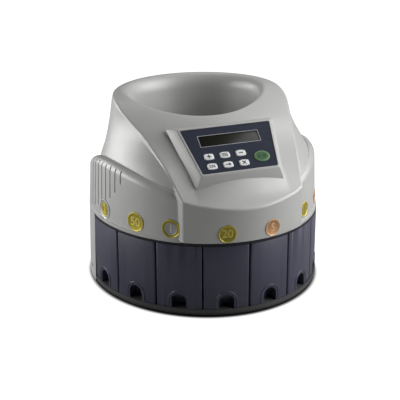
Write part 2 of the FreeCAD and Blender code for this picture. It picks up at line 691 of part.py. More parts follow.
def shoulder_solid(drop):
    """Everything below the side walls' top: a low smooth gable with its peak beside the console."""
    peak = SHOULDER_PEAK_Z - drop
    front = -DEPTH / 2 - 20
    rear = DEPTH / 2 + 20
    ease = 14.0
    z_front = peak - SHOULDER_FALL_FRONT * (SHOULDER_PEAK_Y - front)
    z_rear = peak - SHOULDER_FALL_REAR * (rear - SHOULDER_PEAK_Y)
    points = [V(-WIDTH, front, z_front), V(-WIDTH, SHOULDER_PEAK_Y - ease, peak - SHOULDER_FALL_FRONT * ease),
              V(-WIDTH, SHOULDER_PEAK_Y + ease, peak - SHOULDER_FALL_REAR * ease), V(-WIDTH, rear, z_rear)]
    top = Part.BSplineCurve()
    top.interpolate(points)
    low_rear = V(-WIDTH, rear, 50)
    low_front = V(-WIDTH, front, 50)
    edges = [top.toShape(), Part.makeLine(points[-1], low_rear), Part.makeLine(low_rear, low_front),
             Part.makeLine(low_front, points[0])]
    return Part.Face(Part.Wire(edges)).extrude(V(2 * WIDTH, 0, 0))


def side_walls(inset):
    """Tapered oval walls under the gable."""
    wall = oval_taper(WALL_BOTTOM_INSET + inset, COVER_BOTTOM - 1, WALL_TOP_INSET + inset, WALL_TOP_Z)
    return wall.common(shoulder_solid(inset))


def hood_front(inset):
    """Block behind the hood's oval front, as far as its two upright corners."""
    face = Part.Face(oval_wire(HOOD_A - inset, HOOD_B - inset, COVER_BOTTOM))
    block = face.extrude(V(0, 0, HEIGHT - COVER_BOTTOM))
    t = math.radians(HOOD_HALF_ANGLE)
    corner_x = HOOD_A * math.sin(t) - inset
    corner_y = -HOOD_B * math.cos(t)
    back_x = 110.0 - inset
    reach = (back_x - corner_x) / (-60.0 - corner_y)
    ahead = corner_x - reach * 40.0
    corners = [(-back_x, -60), (-ahead, corner_y - 40), (ahead, corner_y - 40), (back_x, -60)]
    plan = prism(corners, 0, HEIGHT + 5)
    return block.common(plan)


def cover_form(inset):
    """Outer form of the cover, or the form of its hollow when inset is the wall's thickness."""
    whole = side_walls(inset).fuse(neck(inset)).fuse(hood_front(inset))
    return whole.common(crown(inset))


def bowl_form(grow):
    """Funnel from the oval mouth to the round throat."""
    wires = []
    opened = [(-6.0, 1.02), (31.0, 0.93), (71.0, 0.74), (111.0, 0.45), (HEIGHT - THROAT_Z, 0.0)]
    for depth, share in opened:
        a = THROAT_RADIUS + (OPENING_X - THROAT_RADIUS) * share + grow
        b = THROAT_RADIUS + (OPENING_Y - THROAT_RADIUS) * share + grow
        wires.append(oval_wire(a, b - 0.001, HEIGHT - depth, OPENING_CENTRE_Y * share))
    return Part.makeLoft(wires, True, False)


def upper_cover(outer):
    shell = outer.cut(cover_form(COVER_WALL))
    flange = oval_block(FLANGE_INSET, COVER_BOTTOM, COVER_BOTTOM + FLANGE_HEIGHT)
    flange = flange.cut(oval_block(WALL_BOTTOM_INSET + COVER_WALL, COVER_BOTTOM - 1, HEIGHT))
    hood = hood_front(-5.0)
    shell = shell.fuse(flange.cut(hood))
    shell = shell.cut(box(-HOOD_A, HOOD_A, -HOOD_B - 9, HOOD_B, COVER_BOTTOM - 20, COVER_BOTTOM))
    below = hood_front(-5.0).cut(oval_block(WALL_BOTTOM_INSET + COVER_WALL, 0, HEIGHT))
    shell = shell.cut(below.common(box(-HOOD_A, HOOD_A, -DEPTH, 0, 0, COVER_BOTTOM + HOOD_BOTTOM_RISE)))
    shell = shell.cut(bowl_form(BOWL_WALL + BOWL_FIT))
    shell = shell.cut(on_console(console_pit()))
    for p in cover_post_places():
        post = rod(COVER_POST_RADIUS, COVER_BOTTOM, COVER_POST_TOP, p.x, p.y)
        shell = shell.fuse(post.cut(rod(SCREW_BORE, COVER_BOTTOM - 1, COVER_BOTTOM + 16, p.x, p.y)))
    for side in (-1, 1):
        for k in range(VENTS):
            shell = shell.cut(vent(side * (VENT_FIRST + k * VENT_PITCH), k))
    for i in range(DRAWERS):
        shell = shell.cut(emblem_solid(i, 0.1))
    return shell


def cover_post_places():
    """Screw posts inside the cover, over the deck's rear edge."""
    return [oval_point(a, COVER_POST_INSET) for a in (-98, 98, 135, -135)]


def vent(angle, k):
    """Upright slot in the side wall; its foot steps down towards the rear."""
    p = oval_point(angle, WALL_TOP_INSET)
    behind = p.y - SHOULDER_PEAK_Y
    fall = SHOULDER_FALL_REAR * behind if behind > 0 else -SHOULDER_FALL_FRONT * behind
    top = SHOULDER_PEAK_Z - fall - VENT_CREST_DROP
    slot = box(-VENT_WIDTH / 2, VENT_WIDTH / 2, -8, 8, VENT_FEET[k], top)
    slot.translate(V(0, -p.Length, 0))
    return turn_to(slot, heading(angle))


# ---------------------------------------------------------------- console
def on_console(shape):
    """Bring a shape from the console's own axes (X, up the slope, out of the face) to its place."""
    placed = shape.copy()
    placed.rotate(V(0, 0, 0), V(1, 0, 0), CONSOLE_TILT)
    placed.translate(V(0, CONSOLE_Y, CONSOLE_Z))
    return placed


def trapezoid(margin, z):
    """Outline of the keypad sheet, grown by a margin."""
    lean = (SHEET_TOP_HALF - SHEET_BOTTOM_HALF) / SHEET_LENGTH
    low = SHEET_BOTTOM_HALF + margin - lean * margin
    high = SHEET_TOP_HALF + margin + lean * margin
    top = SHEET_LENGTH + margin
    return [V(-low, -margin, z), V(low, -margin, z), V(high, top, z), V(-high, top, z)]


def closed(points):
    return Part.makePolygon(points + points[:1])


def bezel_skirt(inset, top_z, draw):
    """Flared block from the console's face to the line where it meets the hood."""
    top = trapezoid(BEZEL_EDGE - inset, top_z)
    (w2, y2, z2), (w1, y1, z1) = BEZEL_FOOT_TOP, BEZEL_FOOT_BOTTOM
    foot = [V(-w1 + inset, y1 + inset, z1), V(w1 - inset, y1 + inset, z1), V(w2 - inset, y2 - inset, z2),
            V(-w2 + inset, y2 - inset, z2)]
    drawn = [t + (f - t) * draw for t, f in zip(top, foot)]
    return Part.makeLoft([closed(top), closed(drawn)], True, True)


def console_pit():
    """Hole in the hood under the console."""
    points = trapezoid(-1.0, -40.0)
    return Part.Face(closed(points)).extrude(V(0, 0, 60))


def sheet_block(margin, z1, z2):
    block = Part.Face(closed(trapezoid(margin, z1))).extrude(V(0, 0, z2 - z1))
    upright = [e for e in block.Edges if e.BoundBox.ZLength > 0.5 * (z2 - z1)]
    return block.makeFillet(SHEET_CORNER, upright)


def key_places():
    return [(x, y) for y in KEY_ROWS for x in KEY_COLUMNS]


def key_hole(x, y, play, z1, z2):
    plate = rounded_plate(KEY_LENGTH + 2 * play, KEY_HEIGHT + 2 * play, KEY_CORNER, z1, z2)
    plate.translate(V(x, y, 0))
    return plate


def start_hole(play, z1, z2):
    wire = oval_wire(START_LENGTH / 2 + play, START_HEIGHT / 2 + play, z1)
    face = Part.Face(wire).extrude(V(0, 0, z2 - z1))
    face.translate(V(START_X, START_UP, 0))
    return face


def console_bezel(outer):
    block = bezel_skirt(0, 0, BEZEL_SINK)
    hollow = bezel_skirt(BEZEL_WALL, -BEZEL_PLATE, BEZEL_SINK + 0.6)
    block = block.cut(hollow).cut(sheet_block(FACE_GAP / 2, -SHEET_THICKNESS, 5))
    block = block.cut(lcd_block(1.0, -20, 5))
    for x, y in key_places():
        block = block.cut(key_hole(x, y, KEY_PLAY, -20, 5))
    block = block.cut(start_hole(KEY_PLAY, -20, 5))
    return on_console(block).cut(outer)


def lcd_block(margin, z1, z2):
    half_x = LCD_LENGTH / 2 + margin
    half_up = LCD_HEIGHT / 2 + margin
    return box(-half_x, half_x, LCD_UP - half_up, LCD_UP + half_up, z1, z2)


def keypad_membrane():
    sheet = sheet_block(0, -SHEET_THICKNESS, 0).cut(lcd_block(-0.5, -5, 5))
    for x, y in key_places():
        sheet = sheet.cut(key_hole(x, y, KEY_PLAY, -5, 5))
    return on_console(sheet.cut(start_hole(KEY_PLAY, -5, 5)))


def lcd_window():
    """Clear plate behind the sheet's window."""
    return on_console(lcd_block(0.8, -SHEET_THICKNESS - WINDOW_THICKNESS, -SHEET_THICKNESS))


def lcd_module():
    board_z = -BEZEL_PLATE - LCD_DEPTH
    glass = lcd_block(0, board_z, -SHEET_THICKNESS - WINDOW_THICKNESS - 0.1)
    board = lcd_block(LCD_BOARD_MARGIN, board_z - BOARD_THICKNESS, board_z)
    return on_console(glass.fuse(board))


def key_with(cap, flange, x, y):
    """Key from its cap, a flange under the bezel's plate and a stem over its switch."""
    top = [e for e in cap.Edges if e.BoundBox.ZMin > KEY_PROUD - 0.01]
    cap = cap.makeFillet(CAP_ROUND, top)
    stem = Part.makeCylinder(STEM_RADIUS, STEM_LENGTH, V(x, y, -BEZEL_PLATE - KEY_FLANGE - STEM_LENGTH))
    return on_console(cap.fuse(flange).fuse(stem))


def key_cap(x, y):
    under = -BEZEL_PLATE
    cap = key_hole(x, y, 0, under - KEY_FLANGE, KEY_PROUD)
    return key_with(cap, key_hole(x, y, KEY_FLANGE, under - KEY_FLANGE, under), x, y)


def start_key():
    under = -BEZEL_PLATE
    cap = start_hole(0, under - KEY_FLANGE, KEY_PROUD)
    return key_with(cap, start_hole(KEY_FLANGE, under - KEY_FLANGE, under), START_X, START_UP)


def key_board():
    """Circuit board with one small switch under each key."""
    side, height = KEY_SWITCH
    switch_top = -BEZEL_PLATE - KEY_FLANGE - STEM_LENGTH - KEY_TRAVEL - SWITCH_GAP
    top = switch_top - height
    (x1, x2), (up1, up2) = KEY_BOARD_X, KEY_BOARD_UP
    board = box(x1, x2, up1, up2, top - BOARD_THICKNESS, top)
    for x, y in key_places() + [(START_X, START_UP)]:
        board = board.fuse(block_at(x, y, (side, side, height + 0.1), top - 0.1))
    for x in (x1 + STANDOFF_INSET, x2 - STANDOFF_INSET):
        for y in (up1 + STANDOFF_INSET, up2 - STANDOFF_INSET):
            board = board.fuse(Part.makeCylinder(STANDOFF_RADIUS, -BEZEL_PLATE - top, V(x, y, top)))
    return on_console(board)


# ---------------------------------------------------------------- coins on the cover
def emblem_angle(i):
    angle = -90 + (i + 0.5) * DRAWER_STEP
    if i in (2, 5):
        angle += math.copysign(EMBLEM_CORNER_SHIFT, angle)
    return angle


def emblem_solid(i, spare):
    """Coin disc set into the wall, facing straight out of it."""
    angle = emblem_angle(i)
    on_hood = abs(angle) < HOOD_HALF_ANGLE
    t = math.radians(angle)
    z = EMBLEM_HOOD_Z if on_hood else EMBLEM_SIDE_Z
    share = (z - COVER_BOTTOM) / (WALL_TOP_Z - COVER_BOTTOM)
    inset = -HOOD_PROUD if on_hood else WALL_BOTTOM_INSET + (WALL_TOP_INSET - WALL_BOTTOM_INSET) * share
    p = oval_point(angle, inset)
    normal = V(math.sin(t) / (BASE_A - inset), -math.cos(t) / (BASE_B - inset), 0).normalize()
    start = p - normal * (EMBLEM_THICKNESS - EMBLEM_PROUD)
    radius = COIN_DIAMETERS[i] * EMBLEM_SCALE / 2 + spare
    return Part.makeCylinder(radius, EMBLEM_THICKNESS + spare, V(start.x, start.y, z), normal)


# ---------------------------------------------------------------- electrics
def transformer():
    core = block_at(TRANSFORMER_X, TRANSFORMER_Y, CORE_SIZE, BASE_TOP)
    lift = (CORE_SIZE[2] - COIL_SIZE[2]) / 2
    return core.fuse(block_at(TRANSFORMER_X, TRANSFORMER_Y, COIL_SIZE, BASE_TOP + lift))


def main_board():
    """Controller board on four posts, with blocks for its largest components."""
    z = BASE_TOP + BOARD_LIFT
    length, width = BOARD_SIZE
    board = block_at(BOARD_X, BOARD_Y, (length, width, BOARD_THICKNESS), z)
    for x, y, block_length, block_width, height in BOARD_BLOCKS:
        board = board.fuse(block_at(x, y, (block_length, block_width, height), z))
    for x in (-1, 1):
        for y in (-1, 1):
            post_x = BOARD_X + x * (length / 2 - BOARD_POST_INSET)
            post_y = BOARD_Y + y * (width / 2 - BOARD_POST_INSET)
            board = board.fuse(rod(BOARD_POST, BASE_TOP, z + 0.5, post_x, post_y))
    return board


def mains_inlet():
    """Three-pin appliance inlet seen from the rear."""
    z = panel_middle()
    w, h = INLET_WIDTH - 0.4, INLET_HEIGHT - 0.4
    body = box(INLET_X - w / 2, INLET_X + w / 2, REAR_Y - INLET_DEPTH, REAR_Y - 0.5, z - h / 2, z + h / 2)
    room_x = w / 2 - 2
    room_z = h / 2 - 2
    body = body.cut(box(INLET_X - room_x, INLET_X + room_x, REAR_Y - 16, REAR_Y + 1, z - room_z, z + room_z))
    for x, dz in ((-7, -1.5), (0, 2.5), (7, -1.5)):
        body = body.fuse(box(INLET_X + x - 1, INLET_X + x + 1, REAR_Y - 17, REAR_Y - 6, z + dz - 2, z + dz + 2))
    return body


def switch_housing():
    z = panel_middle()
    w, h = SWITCH_WIDTH - 0.4, SWITCH_HEIGHT - 0.4
    body = box(SWITCH_X - w / 2, SWITCH_X + w / 2, REAR_Y - SWITCH_DEPTH, REAR_Y - 0.5, z - h / 2, z + h / 2)
    room_x = w / 2 - SWITCH_WALL
    room_z = h / 2 - SWITCH_WALL
    body = body.cut(box(SWITCH_X - room_x, SWITCH_X + room_x, REAR_Y - 10, REAR_Y + 1, z - room_z, z + room_z))
    return body.cut(pivot_pin(SWITCH_WIDTH, PIVOT_RADIUS + FACE_GAP))


def pivot_pin(length, radius):
    """Round bar on the rocker's axis."""
    start = V(SWITCH_X - length / 2, REAR_Y - ROCKER_SINK - PIVOT_DEPTH, panel_middle())
    return Part.makeCylinder(radius, length, start, V(1, 0, 0))


def power_rocker():
    """Rocker with two faces and a pin at each side, at rest with its lower face pressed."""
    z = panel_middle()
    w = SWITCH_WIDTH - 0.4 - 2 * SWITCH_WALL - 2 * FACE_GAP
    reach = SWITCH_HEIGHT / 2 - 0.2 - SWITCH_WALL - 3 * FACE_GAP
    dip = math.tan(math.radians(ROCKER_SWING / 2)) * reach
    front = REAR_Y - ROCKER_SINK
    side = [(-reach, -5.7), (-reach, -1.0), (0, -dip - 1.0), (reach, -1.0), (reach, -5.7), (0, -7.2)]
    corners = [V(SWITCH_X - w / 2, front + y, z + s) for s, y in side]
    rocker = Part.Face(closed(corners)).extrude(V(w, 0, 0))
    rocker = rocker.fuse(pivot_pin(w + 2 * PIVOT_REACH, PIVOT_RADIUS))
    rocker.rotate(V(SWITCH_X, front - PIVOT_DEPTH, z), V(1, 0, 0), ROCKER_SWING / 2)
    return rocker


# ---------------------------------------------------------------- screws
def base_screws():
    places = frame_screw_places() + casing_screw_places()
    return group([screw(p.x, p.y, FOOT_HEIGHT + HEAD_SINK, BASE_SCREW_LENGTH) for p in places])


def deck_screws():
    head_z = DECK_TOP - DECK_RECESS + HEAD_HEIGHT
    return group([screw(x, y, head_z, DECK_SCREW_LENGTH, up=False) for x, y in deck_screw_places()])


def cover_screws():
    head_z = DECK_BOTTOM - HEAD_HEIGHT
    return group([screw(p.x, p.y, head_z, COVER_SCREW_LENGTH) for p in cover_post_places()])


def build():
    os.makedirs("parts", exist_ok=True)
    outer = cover_form(0)
    save("upper_cover", upper_cover(outer))
    save("hopper_bowl", bowl_form(BOWL_WALL).cut(bowl_form(0)).common(outer))
    save("console_bezel", console_bezel(outer))
    save("keypad_membrane", keypad_membrane())
    save("lcd_window", lcd_window())
    save("lcd_module", lcd_module())
    save("key_board", key_board())
    for n, (x, y) in enumerate(key_places()):
        save("key_%d" % (n + 1), key_cap(x, y))
    save("start_stop_key", start_key())
    for i in range(DRAWERS):
        save("drawer_%d" % (i + 1), drawer(i))
        save("coin_emblem_%d" % (i + 1), emblem_solid(i, 0))
    save("base_plate", base_plate())
    save("drawer_guides", drawer_guides())
    save("rubber_feet", rubber_feet())
    save("rear_casing", rear_casing())
    save("inner_frame", inner_frame())
    save("sorting_deck", sorting_deck())
    save("coin_rail", coin_rail())
    save("coin_sensors", coin_sensors())
    save("sorting_disc", sorting_disc())
    save("disc_cone", disc_cone())
    save("drive_shaft", drive_shaft())
    save("drive_gear", drive_gear())
    save("upper_bush", bush(DECK_BOTTOM - 7.5, DECK_TOP, DECK_BOTTOM - 7.5))
    save("lower_bush", bush(BEARING_PLATE_Z - 2, BEARING_PLATE_Z + BEARING_PLATE_THICKNESS + 1.5,
                            BEARING_PLATE_Z + BEARING_PLATE_THICKNESS))
    save("bearing_plate", bearing_plate())
    save("gear_motor", gear_motor())
    save("motor_pinion", motor_pinion())
    save("motor_shaft", motor_shaft())
    save("main_board", main_board())
    save("transformer", transformer())
    save("mains_inlet", mains_inlet())
    save("switch_housing", switch_housing())
    save("power_rocker", power_rocker())
    save("base_screws", base_screws())
    save("deck_screws", deck_screws())
    save("cover_screws", cover_screws())


build()
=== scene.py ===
"""Looks of a motorised coin counter and sorter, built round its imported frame.

Lengths in the classes are millimetres, turned into Blender's metres where a mesh is made. The frame has
+Z up, the front along -Y, and its origin on the table under the axis of the sorting disc. A station angle
runs round that axis from the front (-Y) towards the right (+X).
"""

import logging
import math
from contextlib import contextmanager
from dataclasses import dataclass, field
from enum import Enum
from typing import Callable, Iterable, Iterator, Sequence

import bmesh
import bpy
import numpy as np
from mathutils import Matrix, Vector


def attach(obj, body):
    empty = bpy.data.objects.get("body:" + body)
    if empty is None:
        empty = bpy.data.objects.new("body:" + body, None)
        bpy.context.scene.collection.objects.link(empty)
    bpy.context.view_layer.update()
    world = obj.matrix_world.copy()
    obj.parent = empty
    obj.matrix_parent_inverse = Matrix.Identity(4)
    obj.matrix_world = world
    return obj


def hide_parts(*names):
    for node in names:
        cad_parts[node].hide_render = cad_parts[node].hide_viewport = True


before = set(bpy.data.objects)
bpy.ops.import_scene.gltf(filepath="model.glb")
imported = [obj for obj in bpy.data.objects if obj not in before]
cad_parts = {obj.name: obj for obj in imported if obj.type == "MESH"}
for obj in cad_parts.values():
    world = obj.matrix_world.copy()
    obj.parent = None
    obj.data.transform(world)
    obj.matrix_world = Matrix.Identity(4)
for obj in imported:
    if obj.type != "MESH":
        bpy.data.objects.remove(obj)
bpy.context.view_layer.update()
LOG = logging.getLogger("coin_counter")

MM = 0.001
WELD = 1e-6
BASE_X, BASE_Y = 165.0, 176.0
RIGHT_ANGLE = math.radians(90)

Piece = bpy.types.Object
Tree = bpy.types.NodeTree
Node = bpy.types.Node
Socket = bpy.types.NodeSocket
Array = np.ndarray
Pair = tuple[float, float]
Triple = tuple[float, float, float]
Colour = Triple
Outline = list[Pair]


# --------------------------------------------------------------------------------------- workbench
def deselect() -> None:
    """Leave nothing selected."""
    bpy.ops.object.select_all(action="DESELECT")


def activate(piece: Piece) -> None:
    """Make one object the only selected and the active one.

    Args:
        piece: the object.
    """
    deselect()
    piece.select_set(True)
    bpy.context.view_layer.objects.active = piece


@contextmanager
def editing(piece: Piece, choice: str = "SELECT") -> Iterator[None]:
    """Hold a piece in edit mode, with all of it or nothing chosen at first.

    Args:
        piece: the mesh object.
        choice: what is selected at first, by the name of the action.

    Returns:
        A context in which the piece is in edit mode.
    """
    activate(piece)
    bpy.ops.object.mode_set(mode="EDIT")
    bpy.ops.mesh.select_all(action=choice)
    yield
    bpy.ops.object.mode_set(mode="OBJECT")


def named(name: str) -> Piece:
    """Name the object that an operator has just added, and return it.

    Args:
        name: its name, for the object and its data.

    Returns:
        The object.
    """
    piece = bpy.context.view_layer.objects.active
    piece.name = name
    piece.data.name = name
    return piece


def added(name: str, operator: Callable[..., object], **settings: object) -> Piece:
    """Add a primitive with nothing else selected, and name it.

    Args:
        name: name of the new piece.
        operator: the operator that adds it.
        **settings: the operator's own settings.

    Returns:
        The new piece.
    """
    deselect()
    operator(**settings)
    return named(name)


def linked(name: str, data: bpy.types.ID) -> Piece:
    """Put new data into the scene as an object.

    Args:
        name: name of the object.
        data: its mesh, curve, light or camera.

    Returns:
        The new object.
    """
    piece = bpy.data.objects.new(name, data)
    bpy.context.scene.collection.objects.link(piece)
    return piece


def outward(spot: Vector) -> Matrix:
    """Turn that stands a flat piece up and faces it away from the axis at a spot in plan."""
    turn = math.atan2(spot.x, -spot.y)
    return Matrix.Rotation(turn, 4, "Z") @ Matrix.Rotation(RIGHT_ANGLE, 4, "X")


def settle(piece: Piece) -> Piece:
    """Move an object's place into its mesh and leave the object at the origin.

    Args:
        piece: the object.

    Returns:
        The same piece.
    """
    activate(piece)
    bpy.ops.object.transform_apply(location=True, rotation=True, scale=True)
    return piece


def place(piece: Piece, matrix: Matrix) -> Piece:
    """Bring a piece that was made in its own axes to its place in the frame.

    Args:
        piece: the mesh object, still at the origin.
        matrix: turn and shift, in metres.

    Returns:
        The same piece, with its place in its mesh.
    """
    piece.matrix_world = matrix
    return settle(piece)


def modify(piece: Piece, kind: str, **settings: object) -> Piece:
    """Add one modifier, set it and apply it.

    Args:
        piece: the mesh object.
        kind: Blender's name of the modifier's type.
        **settings: values of the modifier's properties.

    Returns:
        The same piece.
    """
    activate(piece)
    modifier = piece.modifiers.new(kind.lower(), kind)
    for key, value in settings.items():
        setattr(modifier, key, value)
    bpy.ops.object.modifier_apply(modifier=modifier.name)
    return piece


def combine(piece: Piece, tool: Piece, operation: str = "DIFFERENCE") -> Piece:
    """Cut a piece with a tool, or join the tool to it, and remove the tool.

    Args:
        piece: the mesh object.
        tool: the object that cuts it or joins it; it is removed.
        operation: the Boolean modifier's operation.

    Returns:
        The same piece.
    """
    modify(piece, "BOOLEAN", object=tool, operation=operation, solver="MANIFOLD")
    bpy.data.objects.remove(tool)
    return piece


def merged(pieces: Sequence[Piece], name: str) -> Piece:
    """Join several meshes into one object without changing their faces.

    Args:
        pieces: the meshes, of which the first one stays.
        name: name of the whole.

    Returns:
        The whole.
    """
    deselect()
    for piece in pieces:
        piece.select_set(True)
    bpy.context.view_layer.objects.active = pieces[0]
    if len(pieces) > 1:
        bpy.ops.object.join()
    return named(name)


def smooth(piece: Piece, degrees: float = 35.0) -> Piece:
    """Shade smooth, with edges sharper than the given angle left crisp.

    Args:
        piece: the mesh object.
        degrees: sharpest angle that is still smooth.

    Returns:
        The same piece.
    """
    activate(piece)
    bpy.ops.object.shade_smooth_by_angle(angle=math.radians(degrees))
    return piece


def soften(piece: Piece, width: float, segments: int = 2, degrees: float = 40.0) -> Piece:
    """Round the piece's sharp edges by a width in millimetres and shade it smooth.

    Args:
        piece: the mesh object.
        width: width of the rounding in millimetres.
        segments: steps of the rounding.
        degrees: angle past which an edge is rounded.

    Returns:
        The same piece.
    """
    modify(piece, "BEVEL", width=width * MM, segments=segments, limit_method="ANGLE",
           angle_limit=math.radians(degrees), use_clamp_overlap=True, harden_normals=False)
    return smooth(piece)


def block(name: str, x: Pair, y: Pair, z: Pair) -> Piece:
    """Box between limits in millimetres.

    Args:
        name: name of the new piece.
        x: limits along X.
        y: limits along Y.
        z: limits in height.

    Returns:
        The box.
    """
    centre = [(low + high) / 2 * MM for low, high in (x, y, z)]
    size = [(high - low) * MM for low, high in (x, y, z)]
    return settle(added(name, bpy.ops.mesh.primitive_cube_add, size=1, location=centre, scale=size))


def drum(name: str, radius: float, low: float, high: float, sides: int = 64) -> Piece:
    """Upright cylinder on the axis, between two heights in millimetres."""
    return settle(added(name, bpy.ops.mesh.primitive_cylinder_add, vertices=sides, radius=radius * MM,
                        depth=(high - low) * MM, location=(0.0, 0.0, (low + high) / 2 * MM)))


def loft(name: str, rings: Sequence[Sequence[Triple]]) -> Piece:
    """Closed solid through rings of equally many points, in millimetres, from the lowest to the highest.

    Args:
        name: name of the piece.
        rings: outlines that run anticlockwise as seen from above.

    Returns:
        The solid, made from a circle by extruding its face ring by ring.
    """
    count = len(rings[0])
    piece = added(name, bpy.ops.mesh.primitive_circle_add, vertices=count, radius=1, fill_type="NGON")
    with editing(piece):
        for level, ring in enumerate(rings):
            if level:
                bpy.ops.mesh.extrude_region_move()
            mesh = bmesh.from_edit_mesh(piece.data)
            face = next(f for f in mesh.faces if f.select and len(f.verts) == count)
            for loop, point in zip(face.loops, ring):
                loop.vert.co = Vector(point) * MM
            bmesh.update_edit_mesh(piece.data)
        bpy.ops.mesh.select_all(action="SELECT")
        bpy.ops.mesh.normals_make_consistent(inside=False)
    return piece


def prism(name: str, outline: Sequence[Pair], low: float, high: float) -> Piece:
    """Upright solid over one plan outline."""
    return loft(name, [[(x, y, z) for x, y in outline] for z in (low, high)])


def ring_shell(name: str, spots: Array) -> Piece:
    """Closed ring whose section changes from station to station.

    Args:
        name: name of the piece.
        spots: place of each section point in millimetres, as an array (stations, points, 3). The stations run
            anticlockwise as seen from above, and the points run up the outer skin and down the inner one.

    Returns:
        The ring, shaped from a grid whose edges are then welded to each other.
    """
    stations, points = spots.shape[:2]
    piece = added(name, bpy.ops.mesh.primitive_grid_add, x_subdivisions=stations, y_subdivisions=points,
                  size=2)
    flat = np.empty(len(piece.data.vertices) * 3)
    piece.data.vertices.foreach_get("co", flat)
    share = (flat.reshape(-1, 3)[:, :2] + 1) / 2
    along = np.rint(share[:, 0] * stations).astype(int) % stations
    around = np.rint(share[:, 1] * points).astype(int) % points
    piece.data.vertices.foreach_set("co", (spots[along, around] * MM).ravel())
    piece.data.update()
    with editing(piece):
        bpy.ops.mesh.remove_doubles(threshold=WELD)
    return piece


def rounded_outline(half_x: float, half_y: float, corner: float, at: Pair = (0.0, 0.0),
                    barrel: float = 0.0) -> Outline:
    """Rounded rectangle in plan, with its long sides bulging by `barrel` in the middle.

    Args:
        half_x: half its width.
        half_y: half its height.
        corner: radius of the corners.
        at: its middle.
        barrel: bulge of the long sides.

    Returns:
        Its points, anticlockwise.
    """
    points = []
    for quarter, (side_x, side_y) in enumerate(((1, 1), (-1, 1), (-1, -1), (1, -1))):
        for step in range(7):
            angle = math.radians(quarter * 90 + step * 15)
            x = side_x * (half_x - corner) + corner * math.cos(angle)
            y = side_y * (half_y - corner - barrel) + corner * math.sin(angle)
            points.append((x, y))
        if barrel:
            end_x = half_x - corner
            for step in range(1, 6):
                if quarter % 2 == 0:
                    x = end_x * (1 - step / 3) * side_x
                    points.append((x, side_y * (half_y - barrel * (x / end_x) ** 2)))
    return [(x + at[0], y + at[1]) for x, y in points]


def shrunk(outline: Outline, at: Pair, share: float) -> Outline:
    """Outline drawn in towards a point."""
    return [(at[0] + (x - at[0]) * share, at[1] + (y - at[1]) * share) for x, y in outline]


def clear_edges(piece: Piece) -> Piece:
    """Merge doubled points and turn all faces outwards.

    Args:
        piece: the mesh object.

    Returns:
        The same piece.
    """
    with editing(piece):
        bpy.ops.mesh.remove_doubles(threshold=WELD)
        bpy.ops.mesh.normals_make_consistent(inside=False)
    return piece


def painted(piece: Piece, finish: "Finish") -> Piece:
    """Add a finish to the piece's materials."""
    piece.data.materials.append(finish.material())
    return piece


def finish_piece(piece: Piece, body: str, finish: "Finish | None" = None,
                 stands_for: Iterable[str] = ()) -> Piece:
    """Dress a piece, let it ride on its body and hide the frame nodes that it takes the place of.

    Args:
        piece: the finished mesh at its place.
        body: the moving body that carries it.
        finish: the finish of all its faces, or None when its materials are already set.
        stands_for: frame nodes that it takes the place of.

    Returns:
        The same piece.
    """
    if finish is not None:
        piece.data.materials.clear()
        painted(piece, finish)
    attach(piece, body)
    if stands_for:
        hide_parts(*stands_for)
    LOG.info("%s: %d faces on %s", piece.name, len(piece.data.polygons), body)
    return piece


# ----------------------------------------------------------------------------------- shader groups
def feed(tree: Tree, node: Node, links: dict[object, object]) -> None:
    """Feed a node's inputs, by name or index, with values or with sockets.

    Args:
        tree: the shader tree.
        node: the node that is fed.
        links: for each input, a value or a socket.
    """
    for key, value in links.items():
        if isinstance(value, Socket):
            tree.links.new(value, node.inputs[key])
        else:
            node.inputs[key].default_value = value


def wire(tree: Tree, kind: str, links: dict[object, object] | None = None, **settings: object) -> Node:
    """Add one node to a tree.

    Args:
        tree: the shader tree.
        kind: the node's type name.
        links: for each input, by name or index, a value or the socket that feeds it.
        **settings: the node's own properties.

    Returns:
        The new node.
    """
    node = tree.nodes.new(kind)
    for key, value in settings.items():
        setattr(node, key, value)
    feed(tree, node, links or {})
    return node


def math_node(tree: Tree, operation: str, first: object, second: object = 0.0, clamp: bool = False) -> Socket:
    """Add one Math node and return its output."""
    node = wire(tree, "ShaderNodeMath", {0: first, 1: second}, operation=operation, use_clamp=clamp)
    return node.outputs[0]


def surface_place(tree: Tree, stretch: Triple | None = None) -> Socket:
    """Object coordinates of the surface, stretched along the axes where that is wanted.

    Args:
        tree: the shader tree.
        stretch: factor along each axis, or None.

    Returns:
        The socket with the coordinates.
    """
    spot = wire(tree, "ShaderNodeTexCoord").outputs["Object"]
    if stretch is None:
        return spot
    return wire(tree, "ShaderNodeMapping", {"Vector": spot, "Scale": stretch}).outputs["Vector"]


def noise(tree: Tree, spot: Socket, scale: object, detail: float, **more: float) -> Socket:
    """Noise over a place, with further inputs by name."""
    links = {"Vector": spot, "Scale": scale, "Detail": detail, **more}
    return wire(tree, "ShaderNodeTexNoise", links).outputs["Fac"]


def cells(tree: Tree, spot: Socket, scale: object) -> Socket:
    """Distance to the nearest point of a cell pattern."""
    return wire(tree, "ShaderNodeTexVoronoi", {"Vector": spot, "Scale": scale}).outputs["Distance"]


def joints(tree: Tree, spot: Socket, scale: float, width: float) -> Socket:
    """Mask of the joints of a brick pattern.

    Args:
        tree: the shader tree.
        spot: the place that is sampled.
        scale: bricks in a metre, about.
        width: width of the joints.

    Returns:
        The socket with the mask.
    """
    dark, light = (0, 0, 0, 1), (1, 1, 1, 1)
    links = {"Vector": spot, "Scale": scale, "Mortar Size": width, "Mortar": light,
             "Color1": dark, "Color2": dark}
    return wire(tree, "ShaderNodeTexBrick", links).outputs["Color"]


def ranged(tree: Tree, value: Socket, start: Pair = (0.0, 1.0), end: Pair = (0.0, 1.0),
           **settings: object) -> Socket:
    """Carry a value over from one range to another."""
    links = {"Value": value, "From Min": start[0], "From Max": start[1], "To Min": end[0], "To Max": end[1]}
    return wire(tree, "ShaderNodeMapRange", links, **settings).outputs["Result"]


